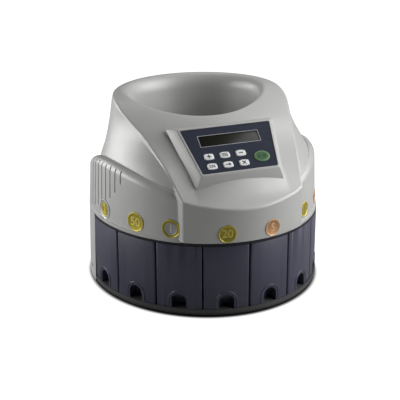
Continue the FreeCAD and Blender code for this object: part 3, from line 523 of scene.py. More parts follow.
def bump(tree: Tree, height: Socket, strength: float, distance: float) -> Socket:
    """Normal of a surface with a fine height on it."""
    links = {"Height": height, "Strength": strength, "Distance": distance}
    return wire(tree, "ShaderNodeBump", links).outputs["Normal"]


class Group:
    """A shader node group under construction."""

    def __init__(self, name: str, inputs: dict[str, float], outputs: Sequence[str]) -> None:
        """Open the group with float inputs and their usual values, and float outputs.

        Args:
            name: name of the group.
            inputs: its inputs with their values.
            outputs: its outputs.
        """
        self.tree = bpy.data.node_groups.new(name, "ShaderNodeTree")
        new_socket = self.tree.interface.new_socket
        for key, value in inputs.items():
            new_socket(name=key, in_out="INPUT", socket_type="NodeSocketFloat").default_value = value
        for key in outputs:
            new_socket(name=key, in_out="OUTPUT", socket_type="NodeSocketFloat")
        self.given = self.tree.nodes.new("NodeGroupInput").outputs
        self.result = self.tree.nodes.new("NodeGroupOutput")

    def give(self, **values: Socket) -> Tree:
        """Feed the group's outputs by name, and return its tree."""
        feed(self.tree, self.result, values)
        return self.tree


def moulded_grain() -> Tree:
    """Fine pebble of a spark-eroded mould: height for a bump, and a mask of its pits.

    Returns:
        The group.
    """
    group = Group("moulded_grain", {"Scale": 900.0, "Coarse": 0.35}, ["Height", "Pits"])
    tree, given = group.tree, group.given
    spot = surface_place(tree)
    fine = noise(tree, spot, given["Scale"], 3.0, Roughness=0.6)
    wide = cells(tree, spot, math_node(tree, "MULTIPLY", given["Scale"], 0.3))
    height = math_node(tree, "ADD", fine, math_node(tree, "MULTIPLY", wide, given["Coarse"]))
    return group.give(Height=height, Pits=math_node(tree, "SUBTRACT", 1.0, height, clamp=True))


def tone_drift() -> Tree:
    """Slow cloudy drift over a moulding, from 0 to 1.

    Returns:
        The group.
    """
    group = Group("tone_drift", {"Scale": 14.0}, ["Drift"])
    cloud = noise(group.tree, surface_place(group.tree), group.given["Scale"], 4.0, Roughness=0.55)
    return group.give(Drift=ranged(group.tree, cloud, (0.3, 0.7)))


def settled_dust() -> Tree:
    """Mask of fine dust on faces that look up, and of smears left by hands.

    Returns:
        The group.
    """
    group = Group("settled_dust", {"Amount": 0.5, "Scale": 40.0}, ["Dust", "Smear"])
    tree, given = group.tree, group.given
    spot = surface_place(tree)
    normal = wire(tree, "ShaderNodeNewGeometry").outputs["Normal"]
    up = wire(tree, "ShaderNodeSeparateXYZ", {0: normal}).outputs["Z"]
    specks = noise(tree, spot, given["Scale"], 6.0, Roughness=0.7)
    dust = math_node(tree, "MULTIPLY", ranged(tree, up, (0.35, 0.95)), ranged(tree, specks, (0.42, 0.72)))
    touch = noise(tree, spot, math_node(tree, "MULTIPLY", given["Scale"], 0.55), 2.0, Distortion=1.2)
    return group.give(Dust=math_node(tree, "MULTIPLY", dust, given["Amount"], clamp=True),
                      Smear=ranged(tree, touch, (0.52, 0.7)))


def brushed_lines() -> Tree:
    """Fine lines of turned or rolled metal, along X, as a height and a tone.

    Returns:
        The group.
    """
    group = Group("brushed_lines", {"Scale": 1.0}, ["Lines"])
    spot = surface_place(group.tree, (40.0, 1600.0, 900.0))
    return group.give(Lines=noise(group.tree, spot, group.given["Scale"], 3.0))


class Effect(Enum):
    """Shader groups that several finishes share."""

    GRAIN = "moulded_grain"
    DRIFT = "tone_drift"
    DUST = "settled_dust"
    LINES = "brushed_lines"

    def tree(self) -> Tree:
        """The group's tree, built on its first use.

        Returns:
            The group.
        """
        builders = {Effect.GRAIN: moulded_grain, Effect.DRIFT: tone_drift, Effect.DUST: settled_dust,
                    Effect.LINES: brushed_lines}
        return bpy.data.node_groups.get(self.value) or builders[self]()


# ---------------------------------------------------------------------------------------- finishes
@dataclass(frozen=True)
class Finish:
    """A finish that builds its material once."""

    name: str

    def material(self) -> bpy.types.Material:
        """The finish's material, built on its first use.

        Returns:
            The material.
        """
        title = self.name + "_finish"
        found = bpy.data.materials.get(title)
        if found:
            return found
        made = bpy.data.materials.new(title)
        made.use_nodes = True
        tree = made.node_tree
        self.paint(tree, tree.nodes["Principled BSDF"])
        return made

    def paint(self, tree: Tree, shader: Node) -> None:
        """Set the shader's sockets and wire its nodes."""
        raise NotImplementedError

    @staticmethod
    def effect(tree: Tree, effect: Effect, **values: float) -> Node:
        """Place a shared group with its own values."""
        return wire(tree, "ShaderNodeGroup", values, node_tree=effect.tree())

    @staticmethod
    def blend(tree: Tree, mask: Socket, *colours: object) -> Socket:
        """Mix two colours by a mask and return the result."""
        first, second = (c if isinstance(c, Socket) else (*c, 1.0) for c in colours)
        return wire(tree, "ShaderNodeMix", {0: mask, 6: first, 7: second}, data_type="RGBA").outputs[2]


@dataclass(frozen=True)
class Plastic(Finish):
    """Moulded plastic: grain, a drift of tone, dust on its upper faces and smears of handling."""

    colour: Colour = (0.4, 0.4, 0.4)
    roughness: float = 0.4
    metallic: float = 0.0
    coat: float = 0.0
    grain_scale: float = 900.0
    grain_height: float = 0.00006
    drift: float = 0.08
    dust: float = 0.12
    gloss: float = 0.5
    coat_roughness: float = 0.2
    grain_strength: float = 0.35
    grain_roughness: float = 0.1
    smear_share: float = 0.86
    dust_cover: float = 0.25
    dust_tone: float = 0.55

    def paint(self, tree: Tree, shader: Node) -> None:
        """Wire grain, drift, dust and smears round the plain colour.

        Args:
            tree: the shader tree.
            shader: the finish's Principled shader.
        """
        grain = self.effect(tree, Effect.GRAIN, Scale=self.grain_scale)
        drift = self.effect(tree, Effect.DRIFT)
        dust = self.effect(tree, Effect.DUST, Amount=self.dust)
        darker = tuple(c * (1 - self.drift) for c in self.colour)
        lighter = tuple(min(1.0, c * (1 + self.drift)) for c in self.colour)
        dusty = tuple((1 - self.dust_cover) * c + self.dust_cover * self.dust_tone for c in self.colour)
        tone = self.blend(tree, drift.outputs["Drift"], darker, lighter)
        smeared = ranged(tree, dust.outputs["Smear"], end=(self.roughness, self.roughness * self.smear_share))
        grained = ranged(tree, grain.outputs["Pits"], end=(0.0, self.grain_roughness))
        feed(tree, shader, {
            "Base Color": self.blend(tree, dust.outputs["Dust"], tone, dusty),
            "Roughness": math_node(tree, "ADD", smeared, grained, clamp=True),
            "Normal": bump(tree, grain.outputs["Height"], self.grain_strength, self.grain_height),
            "Metallic": self.metallic, "Coat Weight": self.coat, "Coat Roughness": self.coat_roughness,
            "Specular IOR Level": self.gloss})


@dataclass(frozen=True)
class Metal(Finish):
    """Bare metal with fine lines, or with a cast skin when `lines` is low."""

    colour: Colour = (0.6, 0.6, 0.6)
    roughness: float = 0.3
    lines: float = 0.00003
    tarnish: Colour = (0.3, 0.28, 0.24)
    tarnish_share: float = 0.3
    tarnish_scale: float = 60.0
    line_strength: float = 0.3
    line_shine: Pair = (0.8, 1.25)

    def paint(self, tree: Tree, shader: Node) -> None:
        """Wire lines and a drift towards the tarnished tone.

        Args:
            tree: the shader tree.
            shader: the finish's Principled shader.
        """
        lines = self.effect(tree, Effect.LINES).outputs["Lines"]
        drift = self.effect(tree, Effect.DRIFT, Scale=self.tarnish_scale).outputs["Drift"]
        share = math_node(tree, "MULTIPLY", drift, self.tarnish_share)
        smooth_end, rough_end = (self.roughness * part for part in self.line_shine)
        feed(tree, shader, {
            "Base Color": self.blend(tree, share, self.colour, self.tarnish),
            "Roughness": ranged(tree, lines, end=(smooth_end, rough_end)),
            "Normal": bump(tree, lines, self.line_strength, self.lines), "Metallic": 1.0})


@dataclass(frozen=True)
class CircuitBoard(Finish):
    """Green lacquer over copper tracks."""

    colour: Colour = (0.02, 0.16, 0.06)
    track_colour: Colour = (0.05, 0.3, 0.1)
    pad_colour: Colour = (0.55, 0.52, 0.45)

    def paint(self, tree: Tree, shader: Node) -> None:
        """Wire tracks from a brick pattern and pads from a cell pattern.

        Args:
            tree: the shader tree.
            shader: the finish's Principled shader.
        """
        spot = surface_place(tree)
        tracks = joints(tree, spot, 220.0, 0.05)
        pads = math_node(tree, "LESS_THAN", cells(tree, spot, 260.0), 0.18)
        lacquer = self.blend(tree, tracks, self.colour, self.track_colour)
        feed(tree, shader, {"Base Color": self.blend(tree, pads, lacquer, self.pad_colour),
                            "Roughness": ranged(tree, pads, end=(0.35, 0.25)),
                            "Normal": bump(tree, tracks, 0.3, 0.00004)})


@dataclass(frozen=True)
class Window(Finish):
    """Tinted display window: gloss over a dark cell pattern."""

    colour: Colour = (0.012, 0.012, 0.009)
    cell_colour: Colour = (0.018, 0.019, 0.013)
    gloss: float = 0.25

    def paint(self, tree: Tree, shader: Node) -> None:
        """Wire a faint grid of display cells and a haze on the gloss.

        Args:
            tree: the shader tree.
            shader: the finish's Principled shader.
        """
        spot = surface_place(tree)
        grid = joints(tree, spot, 420.0, 0.08)
        feed(tree, shader, {"Base Color": self.blend(tree, grid, self.colour, self.cell_colour),
                            "Roughness": ranged(tree, noise(tree, spot, 60.0, 3.0), end=(0.24, 0.34)),
                            "Specular IOR Level": self.gloss})


SHELL = Plastic("shell_grey", colour=(0.56, 0.56, 0.55), roughness=0.40, metallic=0.18, drift=0.04)
DRAWER = Plastic("drawer_navy", colour=(0.056, 0.058, 0.094), roughness=0.34, coat=0.4, grain_scale=1300.0,
                 grain_height=0.00003, drift=0.12, dust=0.1)
BASE = Plastic("base_black", colour=(0.07, 0.07, 0.07), roughness=0.42, drift=0.15, dust=0.2)
DECK = Plastic("deck_black", colour=(0.018, 0.018, 0.022), roughness=0.42, drift=0.12)
SOCKET = Plastic("socket_black", colour=(0.014, 0.014, 0.015), roughness=0.34, grain_height=0.00003)
SHEET = Plastic("keypad_navy", colour=(0.024, 0.031, 0.054), roughness=0.55, grain_scale=2600.0,
                grain_height=0.00002, drift=0.1, dust=0.03, gloss=0.2)
PALE_INK = Plastic("pale_ink", colour=(0.55, 0.56, 0.6), roughness=0.5, grain_height=0.00001, dust=0.0)
DARK_INK = Plastic("dark_ink", colour=(0.02, 0.02, 0.025), roughness=0.5, grain_height=0.00001, dust=0.0)
GREEN_INK = Plastic("green_ink", colour=(0.01, 0.055, 0.012), roughness=0.5, grain_height=0.00001, dust=0.0)
KEY_WHITE = Plastic("key_white", colour=(0.97, 0.97, 0.98), roughness=0.4, grain_height=0.00002, drift=0.03)
KEY_GREEN = Plastic("key_green", colour=(0.028, 0.12, 0.026), roughness=0.38, grain_height=0.00002,
                    drift=0.08)
KEY_RING = Plastic("key_ring_green", colour=(0.13, 0.30, 0.13), roughness=0.4, grain_height=0.00002)
DISC = Plastic("disc_plastic", colour=(0.22, 0.22, 0.23), roughness=0.3, drift=0.1, dust=0.25)
GEAR = Plastic("gear_white", colour=(0.72, 0.70, 0.64), roughness=0.4, drift=0.06)
RUBBER = Plastic("rubber_black", colour=(0.015, 0.015, 0.015), roughness=0.75, grain_height=0.0001, dust=0.3)
MOTOR = Plastic("motor_metal", colour=(0.3, 0.3, 0.32), roughness=0.35, metallic=0.8)
CORE = Plastic("core_metal", colour=(0.12, 0.1, 0.08), roughness=0.5, metallic=0.5)
STEEL = Metal("steel_plate", colour=(0.56, 0.57, 0.58))
SCREW = Metal("screw_steel", colour=(0.62, 0.61, 0.57), roughness=0.28)
BRONZE = Metal("bronze_bush", colour=(0.55, 0.36, 0.16), roughness=0.38)
COIN_GOLD = Metal("coin_gold", colour=(1.0, 0.88, 0.26), roughness=0.44, tarnish=(0.6, 0.48, 0.07),
                  tarnish_share=0.4)
COIN_SILVER = Metal("coin_silver", colour=(0.92, 0.92, 0.89), roughness=0.42)
COIN_COPPER = Metal("coin_copper", colour=(1.0, 0.72, 0.44), roughness=0.44, tarnish=(0.6, 0.3, 0.14))
PATINA_GOLD = Metal("patina_gold", colour=(0.62, 0.53, 0.09), roughness=0.46, tarnish=(0.2, 0.16, 0.02),
                    tarnish_share=0.6)
PATINA_SILVER = Metal("patina_silver", colour=(0.6, 0.6, 0.59), roughness=0.46, tarnish_share=0.4)
PATINA_COPPER = Metal("patina_copper", colour=(0.7, 0.42, 0.23), roughness=0.46, tarnish=(0.42, 0.2, 0.09),
                      tarnish_share=0.5)
BOARD = CircuitBoard("board_green")
GLASS = Window("window_dark")


# ------------------------------------------------------------------------------------------- forms
def curve_through(knots: Sequence[float], values: Sequence[float]) -> Callable[[Array], Array]:
    """Smooth curve through points, level beyond its ends.

    Args:
        knots: places of the points, rising.
        values: heights of the points.

    Returns:
        A function that gives the curve's height at any place.
    """
    at, high = np.array(knots, float), np.array(values, float)
    slope = np.gradient(high, at)

    def height(place_of: Array) -> Array:
        """Height of the curve, by cubic steps between the points.

        Args:
            place_of: places along the curve.

        Returns:
            Heights at those places.
        """
        q = np.clip(place_of, at[0], at[-1])
        k = np.clip(np.searchsorted(at, q) - 1, 0, len(at) - 2)
        span = at[k + 1] - at[k]
        t = (q - at[k]) / span
        near = (1 + 2 * t) * (1 - t) ** 2 * high[k] + t * (1 - t) ** 2 * span * slope[k]
        return near + t * t * (3 - 2 * t) * high[k + 1] + t * t * (t - 1) * span * slope[k + 1]

    return height


def meet(first: Array, second: Array, radius: float) -> Array:
    """Overlap of two forms, with their common edge rounded."""
    outside = np.hypot(np.maximum(radius + first, 0), np.maximum(radius + second, 0))
    return np.minimum(-radius, np.maximum(first, second)) + outside


def join(first: Array, second: Array, radius: float) -> Array:
    """Union of two forms, with their common corner filled."""
    return -meet(-first, -second, radius)


def direction(theta: Array) -> Array:
    """Unit directions in plan at angles in degrees round the axis."""
    angle = np.radians(theta)
    return np.stack([np.sin(angle), -np.cos(angle)], axis=-1)


def eased(value: Array, start: float, end: float, low: float, high: float) -> Array:
    """Go from one height to another between two places, level at both ends."""
    share = np.clip((value - start) / (end - start), 0, 1)
    return low + (high - low) * share * share * (3 - 2 * share)


def oval_radius(theta: Array, half_x: float, half_y: float) -> Array:
    """Distance from the axis to an oval in the given directions."""
    along = direction(theta)
    return 1 / np.hypot(along[..., 0] / half_x, along[..., 1] / half_y)


def oval_point(station: float, inset: float, half_x: float = BASE_X, half_y: float = BASE_Y) -> Vector:
    """Point of the base oval at a station of its own parameter, in millimetres."""
    t = math.radians(station)
    return Vector(((half_x - inset) * math.sin(t), -(half_y - inset) * math.cos(t), 0))


def solve(value: Callable[[Array], Array], low: Array, high: Array,
          rounds: int = 24) -> Array:
    """Place where a rising value crosses zero, by halving between two bounds.

    Args:
        value: the function.
        low: bounds below the crossing.
        high: bounds above it.
        rounds: number of halvings.

    Returns:
        The crossings.
    """
    low, high = low.copy(), high.copy()
    for _ in range(rounds):
        middle = (low + high) / 2
        inside = value(middle) < 0
        low = np.where(inside, middle, low)
        high = np.where(inside, high, middle)
    return (low + high) / 2


@dataclass
class Funnel:
    """Shape of the hopper's funnel: an oval mouth that turns into a round throat."""

    throat: float = 72.0
    mouth_x: float = 93.0
    mouth_y: float = 79.0
    centre: float = 29.5
    throat_z: float = 118.3
    wall: float = 2.3

    def __post_init__(self) -> None:
        """Make the curve of how far the funnel has opened at each height."""
        self.share = curve_through((118, 155, 195, 235, 272), (0.0, 0.45, 0.74, 0.93, 1.02))

    def outline(self, z: Array, grow: float) -> tuple[Array, Array, Array]:
        """Half width, half depth and centre of the funnel at a height.

        Args:
            z: heights in millimetres.
            grow: margin added all round, in millimetres.

        Returns:
            The three measures, in millimetres.
        """
        share = self.share(z)
        half_x = self.throat + (self.mouth_x - self.throat) * share + grow
        half_y = self.throat + (self.mouth_y - self.throat) * share + grow
        return half_x, half_y, self.centre * share


@dataclass
class CoverForm:
    """Outer form of the cover, as a field that is negative inside and about a distance outside."""

    half_x: float = BASE_X
    half_y: float = BASE_Y
    foot_z: float = 106.0
    wall_inset: Pair = (3.6, 7.2)
    wall_top: float = 206.0
    shoulder_round: float = 10.0
    groove_round: float = 0.5
    rear_foot: float = 2.0
    rear_from: Pair = (78.0, 96.0)
    brow: tuple[float, float, float, float] = (8.0, -141.0, 66.0, 15.0)
    hood_proud: float = 1.5
    hood_x: float = 88.0
    hood_corner_y: float = -147.0
    hood_lean: float = 0.27
    hood_corner: float = 1.2
    crease_round: float = 2.2
    flange_inset: float = 2.0
    flange_height: float = 4.0
    ridge: float = 118.0
    wall_slope: float = 0.96
    neck_slope: float = 0.95
    crown_slope: float = 0.86
    flange_round: float = 0.4
    flange_fillet: float = 0.3
    hood_fillet: float = 0.6
    hood_back: float = -20.0

    def __post_init__(self) -> None:
        """Make the curves of the crown, of the neck and of the side walls' top."""
        self.crown_middle = curve_through(
            (-181.5, -177.5, -166, -155, -148, -141.8, -120, -94, -69, -40, -12, 15, 45, 100, 185),
            (149.8, 153.2, 160.3, 166.3, 170.5, 175, 194.8, 217.6, 239, 252, 260.5, 264.5, 265.4, 265, 262.8))
        self.crown_ridge = curve_through(
            (-181.5, -169, -156, -146, -136, -122, -97, -71, -45, -21, 15, 45, 100, 185),
            (149.5, 154.6, 159.4, 167.5, 178.6, 193.6, 210.6, 226.6, 240.8, 252.8, 263.4, 265.4, 265, 262.8))
        self.wall_crest = curve_through(
            (-150, -134, -120, -101, -84, -62, -42, -20, -5, 25, 50, 68, 81, 93, 105, 130, 180),
            (168, 174.8, 180.2, 185.8, 189.2, 192.3, 193, 192.3, 190.4, 183.2, 174.5, 168.5, 164, 160, 156.5,
             151, 148))
        levels = (105, 150, 169, 181, 195, 212, 227, 243, 258, 270)
        radii = (149, 150, 151.5, 149.5, 143.5, 136, 130.5, 127, 125.5, 123.5)
        centres = (-13.5, -13.5, -14.5, -14, -11, -2.5, 5, 8, 6, 4)
        self.neck_radius = curve_through(levels, radii)
        self.neck_centre = curve_through(levels, centres)

    def crown(self, x: Array, y: Array) -> Array:
        """Height of the hood's top skin, with a soft brow under the console.

        Args:
            x: places along X in millimetres.
            y: places along Y in millimetres.

        Returns:
            Heights in millimetres.
        """
        middle = self.crown_middle(y)
        high, at, half_width, length = self.brow
        brow = high * np.maximum(0, 1 - (x / half_width) ** 2) * np.exp(-((y - at) / length) ** 2)
        return middle + (self.crown_ridge(y) - middle) * (x / self.ridge) ** 2 + brow

    def oval(self, x: Array, y: Array, inset: Array) -> Array:
        """Distance outside an oval that is set in from the base plate's outline.

        Args:
            x: places along X in millimetres.
            y: places along Y in millimetres.
            inset: distance inside the base oval.

        Returns:
            Distances, negative inside.
        """
        around = np.hypot(x / (self.half_x - inset), y / (self.half_y - inset))
        radius = np.hypot(x, y)
        return radius - radius / around

    def field(self, x: Array, y: Array, z: Array) -> Array:
        """Value of the form's field at points in millimetres.

        Args:
            x: places along X in millimetres.
            y: places along Y in millimetres.
            z: heights in millimetres.

        Returns:
            Values, negative inside the form.
        """
        rise = (z - self.foot_z) / (self.wall_top - self.foot_z)
        turned = np.degrees(np.arctan2(np.abs(x), -y))
        foot_inset = eased(turned, *self.rear_from, self.wall_inset[0], self.rear_foot)
        inset = foot_inset + (self.wall_inset[1] - foot_inset) * rise
        sides = meet(self.oval(x, y, inset), (z - self.wall_crest(y)) * self.wall_slope, self.shoulder_round)
        neck = (np.hypot(x, y - self.neck_centre(z)) - self.neck_radius(z)) * self.neck_slope
        body = join(sides, neck, self.groove_round)
        flange_top = z - self.foot_z - self.flange_height
        flange = meet(self.oval(x, y, self.flange_inset), flange_top, self.flange_round)
        body = join(body, flange, self.flange_fillet)
        front = self.oval(x, y, -self.hood_proud)
        flank = np.abs(x) - self.hood_x - self.hood_lean * (y - self.hood_corner_y)
        corner = meet(front, flank / math.hypot(1, self.hood_lean), self.hood_corner)
        hood = np.maximum(corner, y - self.hood_back)
        body = join(body, hood, self.hood_fillet)
        return meet(body, (z - self.crown(x, y)) * self.crown_slope, self.crease_round)


@dataclass
class Mouth:
    """Where the crown turns down into the funnel: soft at the sides and the back, tight at the front."""

    form: CoverForm = field(default_factory=CoverForm)
    funnel: Funnel = field(default_factory=Funnel)
    tight: float = 4.5
    soft: float = 17.0
    turn: Pair = (50.0, 115.0)
    deep: float = 1.25
    skirt: float = 3.0
    first_z: float = 255.0
    rounds: int = 12

    def reach(self, theta: Array) -> Array:
        """Plan width of the flare at each station angle."""
        return eased(np.abs(theta), *self.turn, self.tight, self.soft)

    def radius(self, theta: Array, z: Array) -> Array:
        """Distance from the axis to the funnel's inner face at a height.

        Args:
            theta: station angles in degrees.
            z: heights in millimetres.

        Returns:
            Radii in millimetres.
        """
        half_x, half_y, centre = self.funnel.outline(z, 0.0)
        along = direction(theta)
        square = (along[..., 0] / half_x) ** 2 + (along[..., 1] / half_y) ** 2
        linear = along[..., 1] * centre / half_y ** 2
        return (linear + np.sqrt(linear ** 2 - square * ((centre / half_y) ** 2 - 1))) / square

    def rim(self, theta: Array) -> tuple[Array, Array]:
        """Radius and height at which the funnel's inner face, carried on upwards, would meet the crown.

        Args:
            theta: station angles in degrees.

        Returns:
            Radii and heights.
        """
        along = direction(theta)
        z = np.full(theta.shape, self.first_z)
        for _ in range(self.rounds):
            radius = self.radius(theta, z)
            z = self.form.crown(radius * along[..., 0], radius * along[..., 1])
        return radius, z

    def edge(self, theta: Array) -> tuple[Array, Array]:
        """Radius and height at which the flare leaves the crown.

        Args:
            theta: station angles in degrees.

        Returns:
            Radii and heights.
        """
        along = direction(theta)
        radius = self.rim(theta)[0] + self.reach(theta)
        return radius, self.form.crown(radius * along[..., 0], radius * along[..., 1])

    def foot(self, theta: Array) -> Array:
        """Height at which the cover ends inside the funnel."""
        return self.rim(theta)[1] - self.reach(theta) * self.deep - self.skirt

    def section(self, theta: Array, drop: float, rows: int) -> Array:
        """Points of the flare from just inside the crown's edge down to the cover's end.

        Args:
            theta: the stations' angles.
            drop: distance behind the outer skin.
            rows: number of points.

        Returns:
            Radius and height of each point, as an array (stations, rows, 2).
        """
        radius, z = self.rim(theta)
        out, out_z = self.edge(theta)
        foot = self.foot(theta)
        low = foot + self.skirt
        start = np.stack([out, out_z - drop], axis=-1)[:, None]
        corner = np.stack([radius + drop, z - drop], axis=-1)[:, None]
        end = np.stack([self.radius(theta, low) + drop, low], axis=-1)[:, None]
        t = np.linspace(0, 1, rows)[None, 1:, None]
        bend = (1 - t) ** 2 * start + 2 * t * (1 - t) * corner + t ** 2 * end
        last = np.stack([self.radius(theta, foot) + drop, foot], axis=-1)[:, None]
        return np.concatenate([bend, last], axis=1)


@dataclass
class UpperCover:
    """Cover with its side walls, flared neck, hood, vents and coin seats."""

    form: CoverForm = field(default_factory=CoverForm)
    mouth: Mouth = field(default_factory=Mouth)
    wall: float = 2.6
    hood_rise: float = 2.0
    focus: Pair = (80.0, 125.0)
    fine_steps: int = 420
    outer_rows: int = 124
    inner_rows: int = 34
    flare_rows: int = 15
    vents: int = 8
    vent_first: float = 65.9
    vent_pitch: float = 4.0
    vent_width: float = 2.1
    vent_feet: tuple[float, ...] = (170.0, 155.0, 144.0, 137.0, 131.0, 124.0, 118.6, 116.0)
    vent_crest: float = 3.5
    vent_reach: float = 7.0
    groove_radius: float = 0.9
    groove_shift: float = 0.3
    groove_dive: Pair = (32.8, 30.0)
    groove_depth: float = 30.0
    groove_rounds: int = 24
    groove_sides: int = 10
    foot_range: Pair = (100.0, 185.0)
    skin_range: Pair = (5.0, 170.0)
    hood_softness: float = 0.1
    bend_weight: float = 1.1
    even_stations: int = 2
    even_points: int = 5
    crease_angle: float = 38.0

    def stations(self) -> Array:
        """Angles of the stations, close together where the hood steps out of the walls.

        Returns:
            Angles in degrees, rising.
        """
        stretches = ((0.5, 29.0, 1.0), (29.0, 33.6, 0.14), (33.7, 62.0, 0.55), (62.4, 180.0, 1.25))
        half = np.concatenate([np.arange(*stretch) for stretch in stretches])
        return np.concatenate([-half[::-1], half])

    def skin(self, theta: Array, drop: float, rows: int) -> Array:
        """One skin of the shell from its foot to the edge of the mouth.

        Args:
            theta: the stations' angles.
            drop: depth below the outer form.
            rows: points in each section.

        Returns:
            Radius and height of each point, as an array (stations, rows, 2).
        """
        along = direction(theta)[:, None, :]

        def value(radius: Array, z: Array) -> Array:
            """Field at a radius and height of every station."""
            return self.form.field(radius * along[..., 0], radius * along[..., 1], z) + drop

        corner = math.degrees(math.atan2(self.form.hood_x, -self.form.hood_corner_y))
        raised = 1 / (1 + np.exp((np.abs(theta)[:, None] - corner) / self.hood_softness))
        foot_z = self.form.foot_z + self.hood_rise * raised
        foot = solve(lambda r: value(r, foot_z), *(np.full_like(foot_z, r) for r in self.foot_range))
        mouth, mouth_z = (value[:, None] for value in self.mouth.edge(theta))
        focus, focus_z = self.focus
        low = np.arctan2(foot_z - focus_z, foot - focus)
        high = np.arctan2(mouth_z - drop - focus_z, mouth - focus)
        sweep = low + (high - low) * np.linspace(0, 1, self.fine_steps)[None, :]
        reach = solve(lambda s: value(focus + s * np.cos(sweep), focus_z + s * np.sin(sweep)),
                      *(np.full_like(sweep, s) for s in self.skin_range))
        fine = np.stack([focus + reach * np.cos(sweep), focus_z + reach * np.sin(sweep)], axis=-1)
        fine[:, 0, 1] = foot_z[:, 0]
        return self.spread(fine, rows)

    def spread(self, fine: Array, rows: int) -> Array:
        """Choose section points that crowd where the section bends.

        Args:
            fine: the section, finely divided.
            rows: number of points wanted.

        Returns:
            The chosen points.
        """
        step = np.diff(fine, axis=1)
        length = np.hypot(step[..., 0], step[..., 1])
        turn = np.abs(np.diff(np.unwrap(np.arctan2(step[..., 1], step[..., 0]), axis=1), axis=1))
        turn = np.pad(turn, ((0, 0), (1, 0)))
        kernel = np.ones(self.even_points) / self.even_points
        turn = np.apply_along_axis(lambda row: np.convolve(row, kernel, "same"), 1, turn)
        bend = self.bend_weight * turn / turn.sum(axis=1, keepdims=True)
        weight = length / length.sum(axis=1, keepdims=True) + bend
        total = np.pad(np.cumsum(weight, axis=1), ((0, 0), (1, 0)))
        total /= total[:, -1:]
        shifts = range(-self.even_stations, self.even_stations + 1)
        near = [np.roll(total, shift, axis=0) for shift in shifts]
        total = np.mean(near, axis=0)
        wanted = np.linspace(0, 1, rows)
        index = np.arange(fine.shape[1])
        chosen = np.empty((fine.shape[0], rows, 2))
        for k, row in enumerate(total):
            where = np.interp(wanted, row, index)
            chosen[k, :, 0] = np.interp(where, index, fine[k, :, 0])
            chosen[k, :, 1] = np.interp(where, index, fine[k, :, 1])
        return chosen

    def shell(self) -> Piece:
        """Both skins of the cover as one closed shell.

        Returns:
            The shell.
        """
        theta = self.stations()
        outer = self.skin(theta, 0.0, self.outer_rows)
        inner = self.skin(theta, self.wall, self.inner_rows)
        flare = self.mouth.section(theta, 0.0, self.flare_rows)
        behind = self.mouth.section(theta, self.wall, self.flare_rows // 2)
        section = np.concatenate([outer, flare, behind[:, ::-1], inner[:, ::-1]], axis=1)
        across = direction(theta)[:, None, :] * section[..., :1]
        return ring_shell("upper_cover_shell", np.concatenate([across, section[..., 1:]], axis=-1))

    def vent_cutters(self) -> list[Piece]:
        """Upright slots in both side walls; their feet step down towards the rear.

        Returns:
            The cutters, at their places.
        """
        cutters = []
        for side in (-1, 1):
            for k in range(self.vents):
                middle = oval_point(side * (self.vent_first + k * self.vent_pitch), self.form.wall_inset[1])
                top = float(self.form.wall_crest(np.array(middle.y))) - self.vent_crest
                half = self.vent_width / 2
                outline = rounded_outline(half, (top - self.vent_feet[k]) / 2, half * 0.98)
                slot = prism("vent", outline, -self.vent_reach, self.vent_reach)
                centre = Vector((middle.x, middle.y, (top + self.vent_feet[k]) / 2)) * MM
                cutters.append(place(slot, Matrix.Translation(centre) @ outward(middle)))
        return cutters

    def groove(self) -> Piece:
        """Tool for the line between the shoulder and the neck: a thin tube along their corner.

        Returns:
            The tube.
        """
        theta = np.arange(-180, 180, 1.25)
        along = direction(theta)
        z = np.full(theta.shape, 185.0)
        for _ in range(self.groove_rounds):
            centre, circle = self.form.neck_centre(z), self.form.neck_radius(z)
            ahead = along[:, 1] * centre
            radius = ahead + np.sqrt(ahead ** 2 - centre ** 2 + circle ** 2)
            z = self.form.wall_crest(radius * along[:, 1])
        start, end = self.groove_dive
        z -= self.groove_depth * np.clip((start - np.abs(theta)) / (start - end), 0, 1)
        turn = np.linspace(0, 2 * math.pi, self.groove_sides, endpoint=False)
        across = radius[:, None] + self.groove_radius * (np.cos(turn) + self.groove_shift)
        height = z[:, None] + self.groove_radius * (np.sin(turn) + self.groove_shift)
        spots = np.concatenate([along[:, None, :] * across[..., None], height[..., None]], axis=-1)
        return ring_shell("groove", spots)

    def build(self, seats: Sequence[Piece], pit: Piece) -> Piece:
        """Make the cover with its slots and coin seats.

        Args:
            seats: tools that cut the coins' seats.
            pit: tool that opens the hood under the console.

        Returns:
            The finished cover.
        """
        cover = self.shell()
        for tools in (self.vent_cutters(), list(seats), [pit], [self.groove()]):
            for tool in tools:
                clear_edges(tool)
            combine(cover, merged(tools, "cover_tools"))
        smooth(cover, self.crease_angle)
        return finish_piece(cover, "housing", SHELL, ["upper_cover"])


